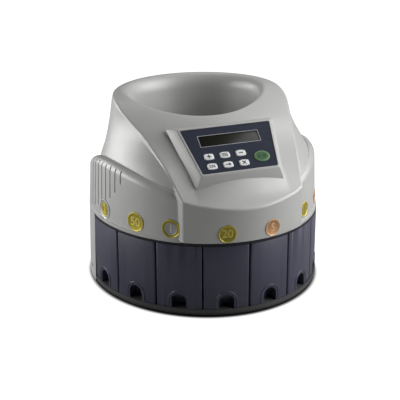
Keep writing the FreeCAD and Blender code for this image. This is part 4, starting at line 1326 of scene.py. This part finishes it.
@dataclass
class HopperBowl:
    """Funnel insert that carries on where the cover's flare ends."""

    mouth: Mouth = field(default_factory=Mouth)
    stations: int = 200
    rows: int = 46
    gap: float = 0.03
    lip: float = 0.1
    first_z: float = 240.0
    rounds: int = 12

    def ring(self, angle: Array, z: Array, grow: float) -> tuple[Array, Array]:
        """Plan place of the funnel's surface at a height."""
        half_x, half_y, centre = self.mouth.funnel.outline(z, grow)
        return half_x * np.sin(angle), centre - half_y * np.cos(angle)

    def top(self, angle: Array) -> Array:
        """Height of the funnel's top edge, just under the cover's flare.

        Args:
            angle: angles of the oval's own parameter.

        Returns:
            Heights in millimetres.
        """
        z = np.full_like(angle, self.first_z)
        for _ in range(self.rounds):
            x, y = self.ring(angle, z, 0.0)
            z = self.mouth.foot(np.degrees(np.arctan2(x, -y))) - self.gap
        return z

    def build(self) -> Piece:
        """Make the funnel from a ring whose section runs up its outside and down its inside.

        Returns:
            The funnel.
        """
        angle = np.linspace(0, 2 * math.pi, self.stations, endpoint=False)
        foot, wall = self.mouth.funnel.throat_z, self.mouth.funnel.wall
        top = self.top(angle)
        rise = top - self.lip - foot
        points = [(wall, foot + rise * share) for share in np.linspace(0, 1, self.rows // 3)]
        points += [(wall - self.lip, top), (self.lip * 0.5, top), (0.0, top - self.lip * 0.5)]
        points += [(0.0, foot + rise * share) for share in np.linspace(1, 0, self.rows)]
        spots = np.empty((self.stations, len(points), 3))
        for k, (grow, z) in enumerate(points):
            spots[:, k, 0], spots[:, k, 1] = self.ring(angle, z, grow)
            spots[:, k, 2] = z
        bowl = smooth(ring_shell("hopper_funnel", spots), 60.0)
        return finish_piece(bowl, "housing", SHELL, ["hopper_bowl"])


# ----------------------------------------------------------------------------------------- console
class Legend(Enum):
    """Generic symbols on the keys."""

    PLUS = "plus"
    MINUS = "minus"
    BARS = "bars"
    ARROW = "arrow"
    GRID = "grid"
    CROSS = "cross"


@dataclass
class Console:
    """Raised console: bezel, sheet, window and keys, in its own axes: X, up the slope and out of it."""

    tilt: float = 38.3
    foot_y: float = -140.7
    foot_z: float = 194.8
    sheet_low: float = 54.0
    sheet_high: float = 65.5
    sheet_length: float = 72.6
    sheet_thickness: float = 0.8
    rim: float = 2.5
    skirt_high: Triple = (78.5, 83.7, -9.4)
    skirt_low: Triple = (62.7, -12.3, -13.8)
    skirt_draw: float = 1.12
    key_columns: tuple[float, ...] = (-37.5, -14.6, 8.4)
    key_rows: tuple[float, ...] = (26.6, 11.0)
    key_size: Pair = (14.0, 9.6)
    key_proud: float = 1.0
    key_foot: float = -4.2
    start_at: Pair = (36.3, 17.8)
    start_size: Pair = (23.0, 17.0)
    display: tuple[float, float, float, float] = (-43.0, 43.0, 43.2, 60.2)
    legend_scale: float = 1.3
    hole_gap: float = 0.3
    pad_share: float = 0.76
    crown_share: float = 0.86
    run_mark: tuple[Pair, ...] = ((-5.4, -2.6), (-0.9, 0.0), (-5.4, 2.6))
    stop_mark: tuple[Pair, ...] = ((1.2, -2.2), (5.6, -2.2), (5.6, 2.2), (1.2, 2.2))
    mark_rise: float = 0.16

    def matrix(self) -> Matrix:
        """Turn and shift from the console's own axes to the frame."""
        shift = Matrix.Translation(Vector((0, self.foot_y, self.foot_z)) * MM)
        return shift @ Matrix.Rotation(math.radians(self.tilt), 4, "X")

    def trapezoid(self, margin: float) -> Outline:
        """Outline of the sheet grown by a margin, with its corners slightly rounded.

        Args:
            margin: distance outside the sheet.

        Returns:
            Its four corners.
        """
        lean = (self.sheet_high - self.sheet_low) / self.sheet_length
        low = self.sheet_low + margin - lean * margin
        high = self.sheet_high + margin + lean * margin
        return [(-low, -margin), (low, -margin), (high, self.sheet_length + margin),
                (-high, self.sheet_length + margin)]

    def plate(self, name: str, margin: float, low: float, high: float, corner: float = 2.6) -> Piece:
        """Flat trapezoid with rounded corners.

        Args:
            name: name of the new piece.
            margin: distance outside the sheet.
            low: lower limit.
            high: upper limit.
            corner: radius of the corners.

        Returns:
            The plate, in the console's own axes.
        """
        piece = prism(name, self.trapezoid(margin), low, high)
        with editing(piece, "DESELECT"):
            mesh = bmesh.from_edit_mesh(piece.data)
            for edge in mesh.edges:
                first, second = (v.co for v in edge.verts)
                edge.select = abs(first.z - second.z) > 0.5 * (high - low) * MM
            bmesh.update_edit_mesh(piece.data)
            bpy.ops.mesh.bevel(offset=corner * MM, segments=6, affect="EDGES")
        return piece

    def pit(self) -> Piece:
        """Tool that opens the hood under the console."""
        return place(prism("console_pit", self.trapezoid(-1.0), -40.0, 20.0), self.matrix())

    def key_places(self) -> Outline:
        """Middle of each small key, row by row from the top."""
        return [(x, y) for y in self.key_rows for x in self.key_columns]

    def key_outline(self, grow: float, at: Pair) -> Outline:
        """Outline of a small key, with bulging long sides."""
        width, height = self.key_size
        return rounded_outline(width / 2 + grow, height / 2 + grow, 1.9, at, barrel=0.7)

    def start_outline(self, grow: float) -> Outline:
        """Oval outline of the start key.

        Args:
            grow: margin added all round, in millimetres.

        Returns:
            Its points.
        """
        half_x, half_y = (side / 2 + grow for side in self.start_size)
        x, y = self.start_at
        turns = [2 * math.pi * k / 72 for k in range(72)]
        return [(x + half_x * math.cos(a), y + half_y * math.sin(a)) for a in turns]

    def display_outline(self, grow_x: float, grow_y: float, corner: float) -> Outline:
        """Rounded outline round the display."""
        x1, x2, y1, y2 = self.display
        return rounded_outline((x2 - x1) / 2 + grow_x, (y2 - y1) / 2 + grow_y, corner, (0, (y1 + y2) / 2))

    def display_block(self, name: str, grow: float, low: float, high: float) -> Piece:
        """Box behind the display."""
        x1, x2, y1, y2 = self.display
        return block(name, (x1 - grow, x2 + grow), (y1 - grow, y2 + grow), (low, high))

    def holes(self, low: float, high: float, grow: float) -> Piece:
        """Tool that opens a plate for all seven keys.

        Args:
            low: lower limit.
            high: upper limit.
            grow: margin added all round, in millimetres.

        Returns:
            The tool.
        """
        tools = [prism("hole", self.key_outline(grow, at), low, high) for at in self.key_places()]
        tools.append(prism("hole", self.start_outline(grow), low, high))
        return merged(tools, "key_holes")

    def bezel(self) -> Piece:
        """Frame with flared flanks, a stepped rim and a recess for the sheet.

        Returns:
            The frame.
        """
        top = self.trapezoid(self.rim)
        (w2, y2, z2), (w1, y1, z1) = self.skirt_high, self.skirt_low
        foot = [(-w1, y1, z1), (w1, y1, z1), (w2, y2, z2), (-w2, y2, z2)]
        drawn = [tuple(t + (f - t) * self.skirt_draw for t, f in zip((x, y, 0.0), low))
                 for (x, y), low in zip(top, foot)]
        bezel = loft("console_bezel_frame", [drawn, [(x, y, 0.0) for x, y in top]])
        soften(bezel, 0.9, 3, 20.0)
        lip = self.plate("lip", self.rim - 0.9, -0.2, 0.7)
        combine(bezel, lip, "UNION")
        combine(bezel, self.plate("recess", 0.12, -self.sheet_thickness, 5.0))
        combine(bezel, prism("well", self.trapezoid(-3.5), -40.0, -3.0))
        combine(bezel, self.holes(-20.0, 5.0, self.hole_gap))
        combine(bezel, self.display_block("display_hole", 1.0, -20.0, 5.0))
        smooth(bezel, 30.0)
        place(bezel, self.matrix())
        return finish_piece(bezel, "housing", SHELL, ["console_bezel"])

    def sheet(self) -> None:
        """Printed keypad sheet with its window, and the pale line round the display."""
        sheet = self.plate("keypad_sheet", 0.0, -self.sheet_thickness, -0.05)
        combine(sheet, self.holes(-5.0, 5.0, self.hole_gap))
        combine(sheet, prism("window", self.display_outline(0.0, 0.0, 0.6), -5.0, 5.0))
        smooth(place(sheet, self.matrix()), 30.0)
        finish_piece(sheet, "housing", SHEET, ["keypad_membrane"])
        line = prism("display_line", self.display_outline(1.0, 0.7, 1.2), -0.3, 0.08)
        combine(line, prism("inner", self.display_outline(0.3, 0.1, 0.9), -1.0, 1.0))
        smooth(place(line, self.matrix()), 30.0)
        finish_piece(line, "housing", PALE_INK)
        glass = soften(self.display_block("display_window", 0.6, -2.2, -0.82), 0.25)
        place(glass, self.matrix())
        finish_piece(glass, "housing", GLASS, ["lcd_window"])

    def cap(self, name: str, outline: Sequence[Pair], at: Pair,
            dish: float) -> Piece:
        """Key cap with a rounded edge and a slightly domed face.

        Args:
            name: name of the piece.
            outline: plan outline of the cap.
            at: middle of the cap.
            dish: height of the dome over the edge.

        Returns:
            The cap in the console's own axes.
        """
        steps = [(1.0, self.key_foot), (1.0, self.key_proud - 0.75), (0.985, self.key_proud - 0.4),
                 (0.945, self.key_proud - 0.14), (self.crown_share, self.key_proud - 0.02)]
        steps += [(share, self.key_proud + dish * (1 - (share / self.crown_share) ** 2))
                  for share in (0.7, 0.5, 0.3, 0.12)]
        rings = [[(*spot, z) for spot in shrunk(outline, at, share)] for share, z in steps]
        return smooth(loft(name, rings), 40.0)

    def mark(self, legend: Legend, at: Pair, top: float) -> Piece:
        """Printed symbol as a thin raised patch.

        Args:
            legend: which symbol.
            at: its middle.
            top: height of the face.

        Returns:
            The patch.
        """
        bars = {
            Legend.PLUS: [(0, 0, 4.4, 1.1), (0, 0, 1.1, 4.4)],
            Legend.MINUS: [(0, 0, 4.6, 1.1)],
            Legend.BARS: [(0, 1.5, 6.4, 0.8), (0, 0, 6.4, 0.8), (0, -1.5, 6.4, 0.8)],
            Legend.ARROW: [(-0.9, 0, 3.8, 0.9), (1.2, 0, 0.9, 3.4), (2.0, 0, 0.9, 2.0), (2.7, 0, 0.8, 0.8)],
            Legend.GRID: [(x, y, 1.7, 1.2) for x in (-2.3, 0, 2.3) for y in (-0.9, 0.9)],
            Legend.CROSS: [(0, 0, 5.0, 1.1), (0, 0, 1.1, 5.0)],
        }[legend]
        patches = []
        for bar in bars:
            x, y, width, height = (value * self.legend_scale for value in bar)
            patch = block("bar", (x - width / 2, x + width / 2), (y - height / 2, y + height / 2),
                          (top - 0.35, top + 0.06))
            if legend is Legend.CROSS:
                place(patch, Matrix.Rotation(math.radians(45), 4, "Z"))
            patches.append(place(patch, Matrix.Translation(Vector((at[0], at[1], 0)) * MM)))
        return painted(merged(patches, "mark"), DARK_INK)

    def keys(self) -> None:
        """Six white keys and the oval start and stop key."""
        legends = (Legend.PLUS, Legend.BARS, Legend.MINUS, Legend.GRID, Legend.ARROW, Legend.CROSS)
        for n, (at, legend) in enumerate(zip(self.key_places(), legends)):
            node = "key_%d" % (n + 1)
            cap = painted(self.cap("white_" + node, self.key_outline(0.0, at), at, 0.12), KEY_WHITE)
            key = merged([cap, self.mark(legend, at, self.key_proud + 0.1)], cap.name)
            finish_piece(place(key, self.matrix()), node, None, [node])
        outline = self.start_outline(0.0)
        ring = painted(self.cap("green_key", outline, self.start_at, 0.0), KEY_RING)
        face = shrunk(outline, self.start_at, self.pad_share)
        pad = painted(prism("pad", face, self.key_proud - 0.3, self.key_proud + 0.1), KEY_GREEN)
        key = merged([ring, pad, *self.start_marks()], "green_key")
        finish_piece(place(key, self.matrix()), "start_stop_key", None, ["start_stop_key"])

    def start_marks(self) -> list[Piece]:
        """A triangle and a square: run and stop.

        Returns:
            Both marks.
        """
        x, y = self.start_at
        return [painted(prism(name, [(x + right, y + up) for right, up in corners],
                              self.key_proud, self.key_proud + self.mark_rise), GREEN_INK)
                for name, corners in (("run", self.run_mark), ("stop", self.stop_mark))]

    def build(self) -> None:
        """Make all of the console."""
        self.bezel()
        self.sheet()
        self.keys()


# ------------------------------------------------------------------------------------------- coins
class Alloy(Enum):
    """What a coin, or its middle, is struck from."""

    GOLD = "coin_gold"
    SILVER = "coin_silver"
    COPPER = "coin_copper"

    def finish(self) -> Metal:
        """The finish of what stands proud."""
        return {Alloy.GOLD: COIN_GOLD, Alloy.SILVER: COIN_SILVER, Alloy.COPPER: COIN_COPPER}[self]

    def patina(self) -> Metal:
        """The duller finish of the sunk field."""
        return {Alloy.GOLD: PATINA_GOLD, Alloy.SILVER: PATINA_SILVER, Alloy.COPPER: PATINA_COPPER}[self]


@dataclass(frozen=True)
class Coin:
    """One coin shown on the cover: its number, its metals and its diameter."""

    number: str
    edge: Alloy
    middle: Alloy
    diameter: float


@dataclass
class CoinRow:
    """Coins set into the cover over their drawers."""

    coins: tuple[Coin, ...] = (
        Coin("2", Alloy.SILVER, Alloy.GOLD, 25.75), Coin("50", Alloy.GOLD, Alloy.GOLD, 24.25),
        Coin("1", Alloy.GOLD, Alloy.SILVER, 23.25), Coin("20", Alloy.GOLD, Alloy.GOLD, 22.25),
        Coin("5", Alloy.COPPER, Alloy.COPPER, 21.25), Coin("10", Alloy.GOLD, Alloy.GOLD, 19.75),
        Coin("2", Alloy.COPPER, Alloy.COPPER, 18.75), Coin("1", Alloy.COPPER, Alloy.COPPER, 16.25))
    scale: float = 1.1
    thickness: float = 2.0
    proud: float = 0.6
    side_z: float = 124.0
    hood_z: float = 121.0
    corner_shift: float = 3.75
    corner_coins: tuple[int, int] = (2, 5)
    hood_station: float = 31.5
    seat_gap: float = 0.35
    middle_share: float = 0.68
    bead_inset: float = 1.9
    digit_share: float = 0.95
    beads: int = 32
    bead_radius: float = 0.34
    bead_z: float = -0.3
    rim_slope: float = 0.25
    upward: float = 0.9
    digit_scale: float = 1.35
    digit_height: float = 0.22
    digit_weight: float = 0.25
    digit_z: float = -0.27

    def matrix(self, i: int) -> Matrix:
        """Turn and shift that bring a coin's face, at z = 0 in its own axes, to its place on the wall.

        Args:
            i: place in the row, from 0 at the left.

        Returns:
            The matrix, in metres.
        """
        station = -90 + (i + 0.5) * 180 / len(self.coins)
        if i in self.corner_coins:
            station += math.copysign(self.corner_shift, station)
        on_hood = abs(station) < self.hood_station
        form = CoverForm()
        z = self.hood_z if on_hood else self.side_z
        share = (z - form.foot_z) / (form.wall_top - form.foot_z)
        wall = form.wall_inset[0] + (form.wall_inset[1] - form.wall_inset[0]) * share
        inset = -form.hood_proud if on_hood else wall
        spot = oval_point(station, inset)
        t = math.radians(station)
        slope_x, slope_y = math.sin(t) / (form.half_x - inset), -math.cos(t) / (form.half_y - inset)
        out = Vector((slope_x, slope_y, 0)).normalized()
        across = Vector((-out.y, out.x, 0))
        turn = Matrix((across, Vector((0, 0, 1)), out)).transposed().to_4x4()
        face = Vector((spot.x, spot.y, z)) + out * self.proud
        return Matrix.Translation(face * MM) @ turn

    def seats(self) -> list[Piece]:
        """Tools that sink each coin's seat into the cover.

        Returns:
            One tool for each coin.
        """
        low, high = -self.thickness - 0.1, 6.0
        radii = [coin.diameter * self.scale / 2 + self.seat_gap for coin in self.coins]
        return [place(drum("seat", radius, low, high), self.matrix(i)) for i, radius in enumerate(radii)]

    def struck(self, radius: float, rim: float, alloy: Alloy, rise: float, sink: float) -> Piece:
        """Disc with a raised rim, its field sunk below it and dulled.

        Args:
            radius: outer radius.
            rim: width of the raised rim.
            alloy: what it is struck from.
            rise: height of the rim over the coin's face.
            sink: depth of the field under the rim.

        Returns:
            The disc with both its finishes.
        """
        disc = drum("struck", radius, -self.thickness, rise, sides=96)
        with editing(disc, "DESELECT"):
            mesh = bmesh.from_edit_mesh(disc.data)
            for face in mesh.faces:
                face.select = face.normal.z > self.upward
            bmesh.update_edit_mesh(disc.data)
            bpy.ops.mesh.inset(thickness=rim * MM)
            bpy.ops.mesh.inset(thickness=self.rim_slope * MM, depth=-sink * MM)
        soften(disc, 0.12, 2, 30.0)
        painted(painted(disc, alloy.finish()), alloy.patina())
        for face in disc.data.polygons:
            middle = face.center / MM
            face.material_index = int(face.normal.z > self.upward and middle.z < rise - 0.6 * sink
                                      and middle.xy.length < radius - rim)
        return disc

    def beaded(self, radius: float) -> Piece:
        """Ring of small beads inside the rim.

        Args:
            radius: radius of the ring.

        Returns:
            The ring.
        """
        beads = []
        for k in range(self.beads):
            a = 2 * math.pi * k / self.beads
            spot = (radius * math.cos(a) * MM, radius * math.sin(a) * MM, self.bead_z * MM)
            beads.append(settle(added("bead", bpy.ops.mesh.primitive_ico_sphere_add, subdivisions=1,
                                      radius=self.bead_radius * MM, location=spot)))
        return merged(beads, "beads")

    def numeral(self, text: str, height: float) -> Piece:
        """Plain raised number.

        Args:
            text: the digits.
            height: height of the digits, about.

        Returns:
            The number.
        """
        writing = added("numeral", bpy.ops.object.text_add).data
        writing.body = text
        writing.size = height * MM * self.digit_scale
        writing.align_x = writing.align_y = "CENTER"
        writing.extrude = self.digit_height * MM
        writing.offset = self.digit_weight * MM
        bpy.ops.object.convert(target="MESH")
        number = bpy.context.view_layer.objects.active
        return clear_edges(place(number, Matrix.Translation(Vector((0, 0, self.digit_z * MM)))))

    def build(self) -> None:
        """Make the eight coins."""
        for i, coin in enumerate(self.coins):
            radius = coin.diameter * self.scale / 2
            parts = [self.struck(radius, 0.9, coin.edge, 0.0, 0.35)]
            if coin.middle is not coin.edge:
                parts.append(self.struck(radius * self.middle_share, 0.35, coin.middle, -0.08, 0.16))
            dots = painted(self.beaded(radius - self.bead_inset), coin.edge.finish())
            number = painted(self.numeral(coin.number, radius * self.digit_share), coin.middle.finish())
            piece = merged([*parts, dots, number], "coin_face_%d" % (i + 1))
            smooth(place(piece, self.matrix(i)), 35.0)
            node = "coin_emblem_%d" % (i + 1)
            finish_piece(piece, "housing", None, [node])


# ----------------------------------------------------------------------------------------- drawers
@dataclass
class Drawers:
    """Eight wedge drawers round the front half, each with a finger recess and a raised arch round it."""

    count: int = 8
    inset: float = 1.3
    gap: float = 1.6
    wall: float = 2.2
    low: float = 11.3
    high: float = 102.5
    back: float = 85.0
    corner: float = 2.5
    finger_width: float = 21.0
    finger_height: float = 21.0
    finger_depth: float = 14.0
    arch_offset: float = 4.0
    bead: float = 0.8
    front_steps: int = 26
    back_steps: int = 8
    first_reach: float = 150.0
    rounds: int = 12

    @property
    def step(self) -> float:
        """Stations between two drawers' divisions."""
        return 180.0 / self.count

    def heading(self, station: float) -> Vector:
        """Direction from the axis to the base oval at a station."""
        return oval_point(station, 0.0).normalized()

    def outline(self, i: int, grow: float, corner: float) -> Outline:
        """Plan of a drawer with its sides set in by `grow` and its front corners rounded.

        Args:
            i: place in the row, from 0 at the left.
            grow: distance that it is set in all round, in millimetres.
            corner: radius of the corners.

        Returns:
            The points of the plan.
        """
        left = self.heading(-90 + i * self.step)
        right = self.heading(-90 + (i + 1) * self.step)
        spare = self.gap / 2 + grow
        left_in = Vector((-left.y, left.x, 0)) * spare
        right_in = Vector((right.y, -right.x, 0)) * spare
        front_inset = self.inset + grow
        start = self.angle_on(left, left_in, front_inset)
        end = self.angle_on(right, right_in, front_inset)
        steps = self.front_steps
        front = [self.front_point(start + (end - start) * k / steps, front_inset) for k in range(steps + 1)]
        back_radius = self.back + grow
        back_left = left_in + left * math.sqrt(back_radius ** 2 - spare ** 2)
        back_right = right_in + right * math.sqrt(back_radius ** 2 - spare ** 2)
        a1 = math.atan2(back_right.y, back_right.x)
        a2 = math.atan2(back_left.y, back_left.x)
        a2 -= 2 * math.pi * round((a2 - a1) / (2 * math.pi))
        turns = [a1 + (a2 - a1) * k / self.back_steps for k in range(self.back_steps + 1)]
        back = [Vector((back_radius * math.cos(a), back_radius * math.sin(a), 0)) for a in turns]
        rounded = self.round_ends(front, back_left, back_right, corner)
        return [(p.x, p.y) for p in rounded + back]

    def angle_on(self, along: Vector, shift: Vector, inset: float) -> float:
        """Angle round the axis at which a side line meets the front oval.

        Args:
            along: direction of the side.
            shift: a point of the side.
            inset: distance inside the base oval.

        Returns:
            The angle in degrees.
        """
        distance = self.first_reach
        for _ in range(self.rounds):
            spot = shift + along * distance
            theta = math.degrees(math.atan2(spot.x, -spot.y))
            distance += float(oval_radius(np.array(theta), BASE_X - inset, BASE_Y - inset)) - spot.length
        return theta

    def front_point(self, theta: float, inset: float) -> Vector:
        """Point of the drawer's front at an angle round the axis."""
        radius = float(oval_radius(np.array(theta), BASE_X - inset, BASE_Y - inset))
        return Vector((radius * math.sin(math.radians(theta)), -radius * math.cos(math.radians(theta)), 0))

    @staticmethod
    def round_ends(front: list[Vector], back_left: Vector, back_right: Vector, corner: float) -> list[Vector]:
        """Replace the front's two end points by arcs of the given radius.

        Args:
            front: points of the front.
            back_left: far end of the left side.
            back_right: far end of the right side.
            corner: radius of the corners.

        Returns:
            The front's points with their arcs.
        """
        def arc(tip: Vector, before: Vector, after: Vector) -> list[Vector]:
            """Rounded corner at a tip, by a quadratic curve.

            Args:
                tip: the corner.
                before: a point before it.
                after: a point after it.

            Returns:
                The arc's points.
            """
            one = tip + (before - tip).normalized() * corner
            two = tip + (after - tip).normalized() * corner
            return [one.lerp(tip, t).lerp(tip.lerp(two, t), t) for t in (0, 0.2, 0.4, 0.6, 0.8, 1)]

        left, right = front[0], front[-1]
        clear = corner * 1.1
        middle = [p for p in front[1:-1] if (p - left).length > clear and (p - right).length > clear]
        return arc(left, back_left, middle[0]) + middle + arc(right, middle[-1], back_right)

    def arch_tool(self, name: str, width: float, top: float, depth: Pair, low: float,
                  mid: Vector) -> Piece:
        """Round-topped doorway block facing a drawer's heading.

        Args:
            name: name of the new piece.
            width: width of the doorway.
            top: height of its top.
            depth: distances of both its ends from the axis.
            low: height of its foot.
            mid: heading of the drawer's middle.

        Returns:
            The block, at its place.
        """
        half = width / 2
        points = [(-half, low), (half, low)]
        points += [(half * math.cos(a), top - half + half * math.sin(a))
                   for a in (math.pi * k / 20 for k in range(21))]
        tool = prism(name, points, depth[0], depth[1])
        return place(tool, outward(mid))

    def arch_bead(self, i: int, mid: Vector) -> Piece:
        """Raised line round the finger recess, following the curved front.

        Args:
            i: place in the row, from 0 at the left.
            mid: heading of the drawer's middle.

        Returns:
            The line, as a mesh.
        """
        half = self.finger_width / 2 + self.arch_offset
        top = self.low + self.finger_height + self.arch_offset
        path = [(-half, z) for z in np.linspace(self.low + 0.8, top - half, 5)]
        turns = np.linspace(0, math.pi, 25)[1:]
        path += [(-half * math.cos(a), top - half + half * math.sin(a)) for a in turns]
        path += [(half, z) for z in np.linspace(top - half, self.low + 0.8, 5)[1:]]
        middle = math.degrees(math.atan2(mid.x, -mid.y))
        data = bpy.data.curves.new("arch", "CURVE")
        data.dimensions = "3D"
        data.bevel_depth = self.bead * MM
        data.bevel_resolution = 3
        data.use_fill_caps = True
        line = data.splines.new("POLY")
        line.points.add(len(path) - 1)
        across = Vector((-mid.y, mid.x, 0))
        for point, (x, z) in zip(line.points, path):
            theta = middle + math.degrees(math.atan2(x, BASE_X))
            front = self.front_point(theta, self.inset)
            for _ in range(4):
                theta += math.degrees((x - front.dot(across)) / BASE_X)
                front = self.front_point(theta, self.inset)
            point.co = (front.x * MM, front.y * MM, z * MM, 1.0)
        activate(linked("arch", data))
        bpy.ops.object.convert(target="MESH")
        return clear_edges(bpy.context.view_layer.objects.active)

    def drawer(self, i: int) -> Piece:
        """One drawer.

        Args:
            i: place in the row, from 0 at the left.

        Returns:
            The finished drawer.
        """
        mid = self.heading(-90 + (i + 0.5) * self.step)
        face = oval_point(-90 + (i + 0.5) * self.step, self.inset).length
        top = self.low + self.finger_height
        tub = prism("coin_drawer_%d" % (i + 1), self.outline(i, 0.0, self.corner), self.low, self.high)
        combine(tub, prism("inside", self.outline(i, self.wall, 0.8), self.low + self.wall, self.high + 5))
        pocket = self.arch_tool("pocket", self.finger_width + 2 * self.wall, top + self.wall,
                                (face - self.finger_depth - self.wall, face - 1.0), self.low, mid)
        combine(tub, pocket, "UNION")
        combine(tub, self.arch_tool("recess", self.finger_width, top, (face - self.finger_depth, face + 9),
                                    self.low - 5, mid))
        soften(tub, 0.45, 2, 50.0)
        combine(tub, self.arch_bead(i, mid), "UNION")
        smooth(tub, 35.0)
        node = "drawer_%d" % (i + 1)
        return finish_piece(tub, node, DRAWER, [node])

    def build(self) -> None:
        """Make all eight drawers."""
        for i in range(self.count):
            self.drawer(i)


# ------------------------------------------------------------------------------------- frame nodes
@dataclass
class Works:
    """Frame nodes that keep their own shape and get their finish here."""

    finishes: dict[str, Finish] = field(default_factory=lambda: {
        "base_plate": BASE, "drawer_guides": BASE, "rubber_feet": RUBBER, "rear_casing": SHELL,
        "inner_frame": DECK, "sorting_deck": DECK, "coin_rail": DISC, "coin_sensors": SOCKET,
        "lcd_module": SOCKET, "key_board": BOARD, "upper_bush": BRONZE, "lower_bush": BRONZE,
        "bearing_plate": STEEL, "gear_motor": MOTOR, "main_board": BOARD, "transformer": CORE,
        "mains_inlet": SOCKET, "switch_housing": SOCKET, "power_rocker": SOCKET, "base_screws": SCREW,
        "deck_screws": SCREW, "cover_screws": SCREW, "sorting_disc": DISC, "disc_cone": DISC,
        "drive_shaft": STEEL, "drive_gear": GEAR, "motor_pinion": GEAR, "motor_shaft": STEEL})
    plug_station: float = 96.0
    plug_inset: float = 0.35
    plug_z: float = 20.0
    plug_radius: float = 2.1

    def build(self) -> None:
        """Dress each node."""
        for name, finish in self.finishes.items():
            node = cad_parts[name]
            for seat in node.material_slots:
                seat.material = finish.material()
            LOG.info("%s: %s", name, finish.name)
        self.plugs()

    def plugs(self) -> None:
        """Small round plugs low on both ends of the rear casing."""
        for n, side in enumerate((-1, 1)):
            spot = oval_point(side * self.plug_station, self.plug_inset)
            spot.z = self.plug_z
            plug = soften(drum("plug", self.plug_radius, -1.5, 0.35, sides=32), 0.2, 2, 30.0)
            plug = smooth(place(plug, Matrix.Translation(spot * MM) @ outward(spot)), 40.0)
            plug.name = "casing_plug_%d" % (n + 1)
            finish_piece(plug, "housing", SOCKET)


# ------------------------------------------------------------------------------------------ studio
@dataclass(frozen=True)
class SoftBox:
    """One soft light: compass and height in degrees, size in metres, power in watts."""

    name: str
    compass: float
    height: float
    size: Pair
    power: float

    def place(self, distance: float, aim: Vector) -> None:
        """Add the light at a distance from the point that it is aimed at.

        Args:
            distance: distance in metres.
            aim: the point that it is aimed at.
        """
        data = bpy.data.lights.new(self.name, "AREA")
        data.shape = "RECTANGLE"
        data.size, data.size_y = self.size
        data.energy = self.power
        lamp = linked(self.name, data)
        turn, rise = math.radians(self.compass), math.radians(self.height)
        level = math.cos(rise)
        back = Vector((level * math.sin(turn), -level * math.cos(turn), math.sin(rise)))
        facing = back.to_track_quat("Z", "Y").to_matrix().to_4x4()
        lamp.matrix_world = Matrix.Translation(aim + back * distance) @ facing


@dataclass
class Studio:
    """Camera, pale floor and soft lights."""

    spot: Triple = (-0.5474, -1.3975, 0.6643)
    right: Triple = (0.9316, -0.3635, -0.0023)
    up: Triple = (0.1292, 0.3251, 0.9368)
    back: Triple = (-0.3398, -0.8730, 0.3498)
    lens: float = 98.555
    sensor: float = 36.0
    floor_size: float = 12.0
    floor_tone: float = 0.3
    # tone of the painted contact shadow under and round the base
    painted_shadow_tone: float = 0.02
    floor_glow: float = 0.97
    base_half: Pair = (0.165, 0.176)
    # reach of the painted contact shadow, as shares of the base's oval
    shadow: Pair = (0.985, 1.035)
    spread: float = 2.0
    ambient: float = 0.02
    distance: float = 1.7
    aim: Triple = (0.0, 0.0, 0.13)
    boxes: tuple[SoftBox, ...] = (
        SoftBox("left_box", -119.0, 15.0, (2.2, 1.0), 28.0),
        SoftBox("right_box", 60.0, 15.0, (1.8, 1.0), 20.0),
        SoftBox("rear_box", 130.0, 45.0, (1.6, 1.0), 5.0),
        SoftBox("right_high_box", 72.0, 45.0, (1.3, 1.0), 13.5))

    def camera(self) -> None:
        """Add the camera that the scene is seen through."""
        data = bpy.data.cameras.new("view")
        data.lens = self.lens
        data.sensor_width = self.sensor
        camera = linked("view", data)
        turn = Matrix((self.right, self.up, self.back)).transposed().to_4x4()
        camera.matrix_world = Matrix.Translation(self.spot) @ turn
        bpy.context.scene.camera = camera

    def floor_finish(self) -> bpy.types.Material:
        """White floor that throws little light back, with a painted contact shadow, dark in colour and glow,
        where the base stands on it.

        Returns:
            The material.
        """
        material = bpy.data.materials.new("floor_white")
        material.use_nodes = True
        tree = material.node_tree
        shader = tree.nodes["Principled BSDF"]
        across = [1 / (half * self.spread) for half in self.base_half]
        spot = surface_place(tree, (*across, 1.0))
        near = wire(tree, "ShaderNodeTexGradient", {"Vector": spot}, gradient_type="SPHERICAL").outputs["Fac"]
        # painted contact shadow: the floor's colour and camera glow fall to dark inside and just round the
        # base's oval
        inner, outer = (1 - share / self.spread for share in self.shadow)
        beyond_painted_shadow = ranged(tree, near, (inner, outer), interpolation_type="SMOOTHSTEP")
        seen = wire(tree, "ShaderNodeLightPath").outputs["Is Camera Ray"]
        glow = math_node(tree, "MULTIPLY", seen, self.floor_glow)
        feed(tree, shader, {"Base Color": ranged(tree, beyond_painted_shadow, end=(self.painted_shadow_tone, self.floor_tone)),
                            "Roughness": 0.9, "Emission Color": (1.0, 1.0, 1.0, 1.0),
                            "Emission Strength": math_node(tree, "MULTIPLY", glow, beyond_painted_shadow)})
        return material

    def floor(self) -> None:
        """Add a wide pale floor."""
        floor = added("floor", bpy.ops.mesh.primitive_plane_add, size=self.floor_size)
        floor.data.materials.append(self.floor_finish())

    def build(self) -> None:
        """Set up the studio."""
        self.camera()
        self.floor()
        world = bpy.data.worlds.new("studio")
        world.use_nodes = True
        sky = {"Color": (1.0, 1.0, 1.0, 1.0), "Strength": self.ambient}
        feed(world.node_tree, world.node_tree.nodes["Background"], sky)
        bpy.context.scene.world = world
        bpy.context.scene.view_settings.view_transform = "Standard"
        for box in self.boxes:
            box.place(self.distance, Vector(self.aim))


def main() -> None:
    """Build the sub-assemblies in order and report each piece."""
    logging.basicConfig(level=logging.INFO, format="%(message)s")
    Studio().build()
    console = Console()
    coins = CoinRow()
    UpperCover().build(coins.seats(), console.pit())
    HopperBowl().build()
    console.build()
    coins.build()
    Drawers().build()
    Works().build()


if __name__ == "__main__":
    main()
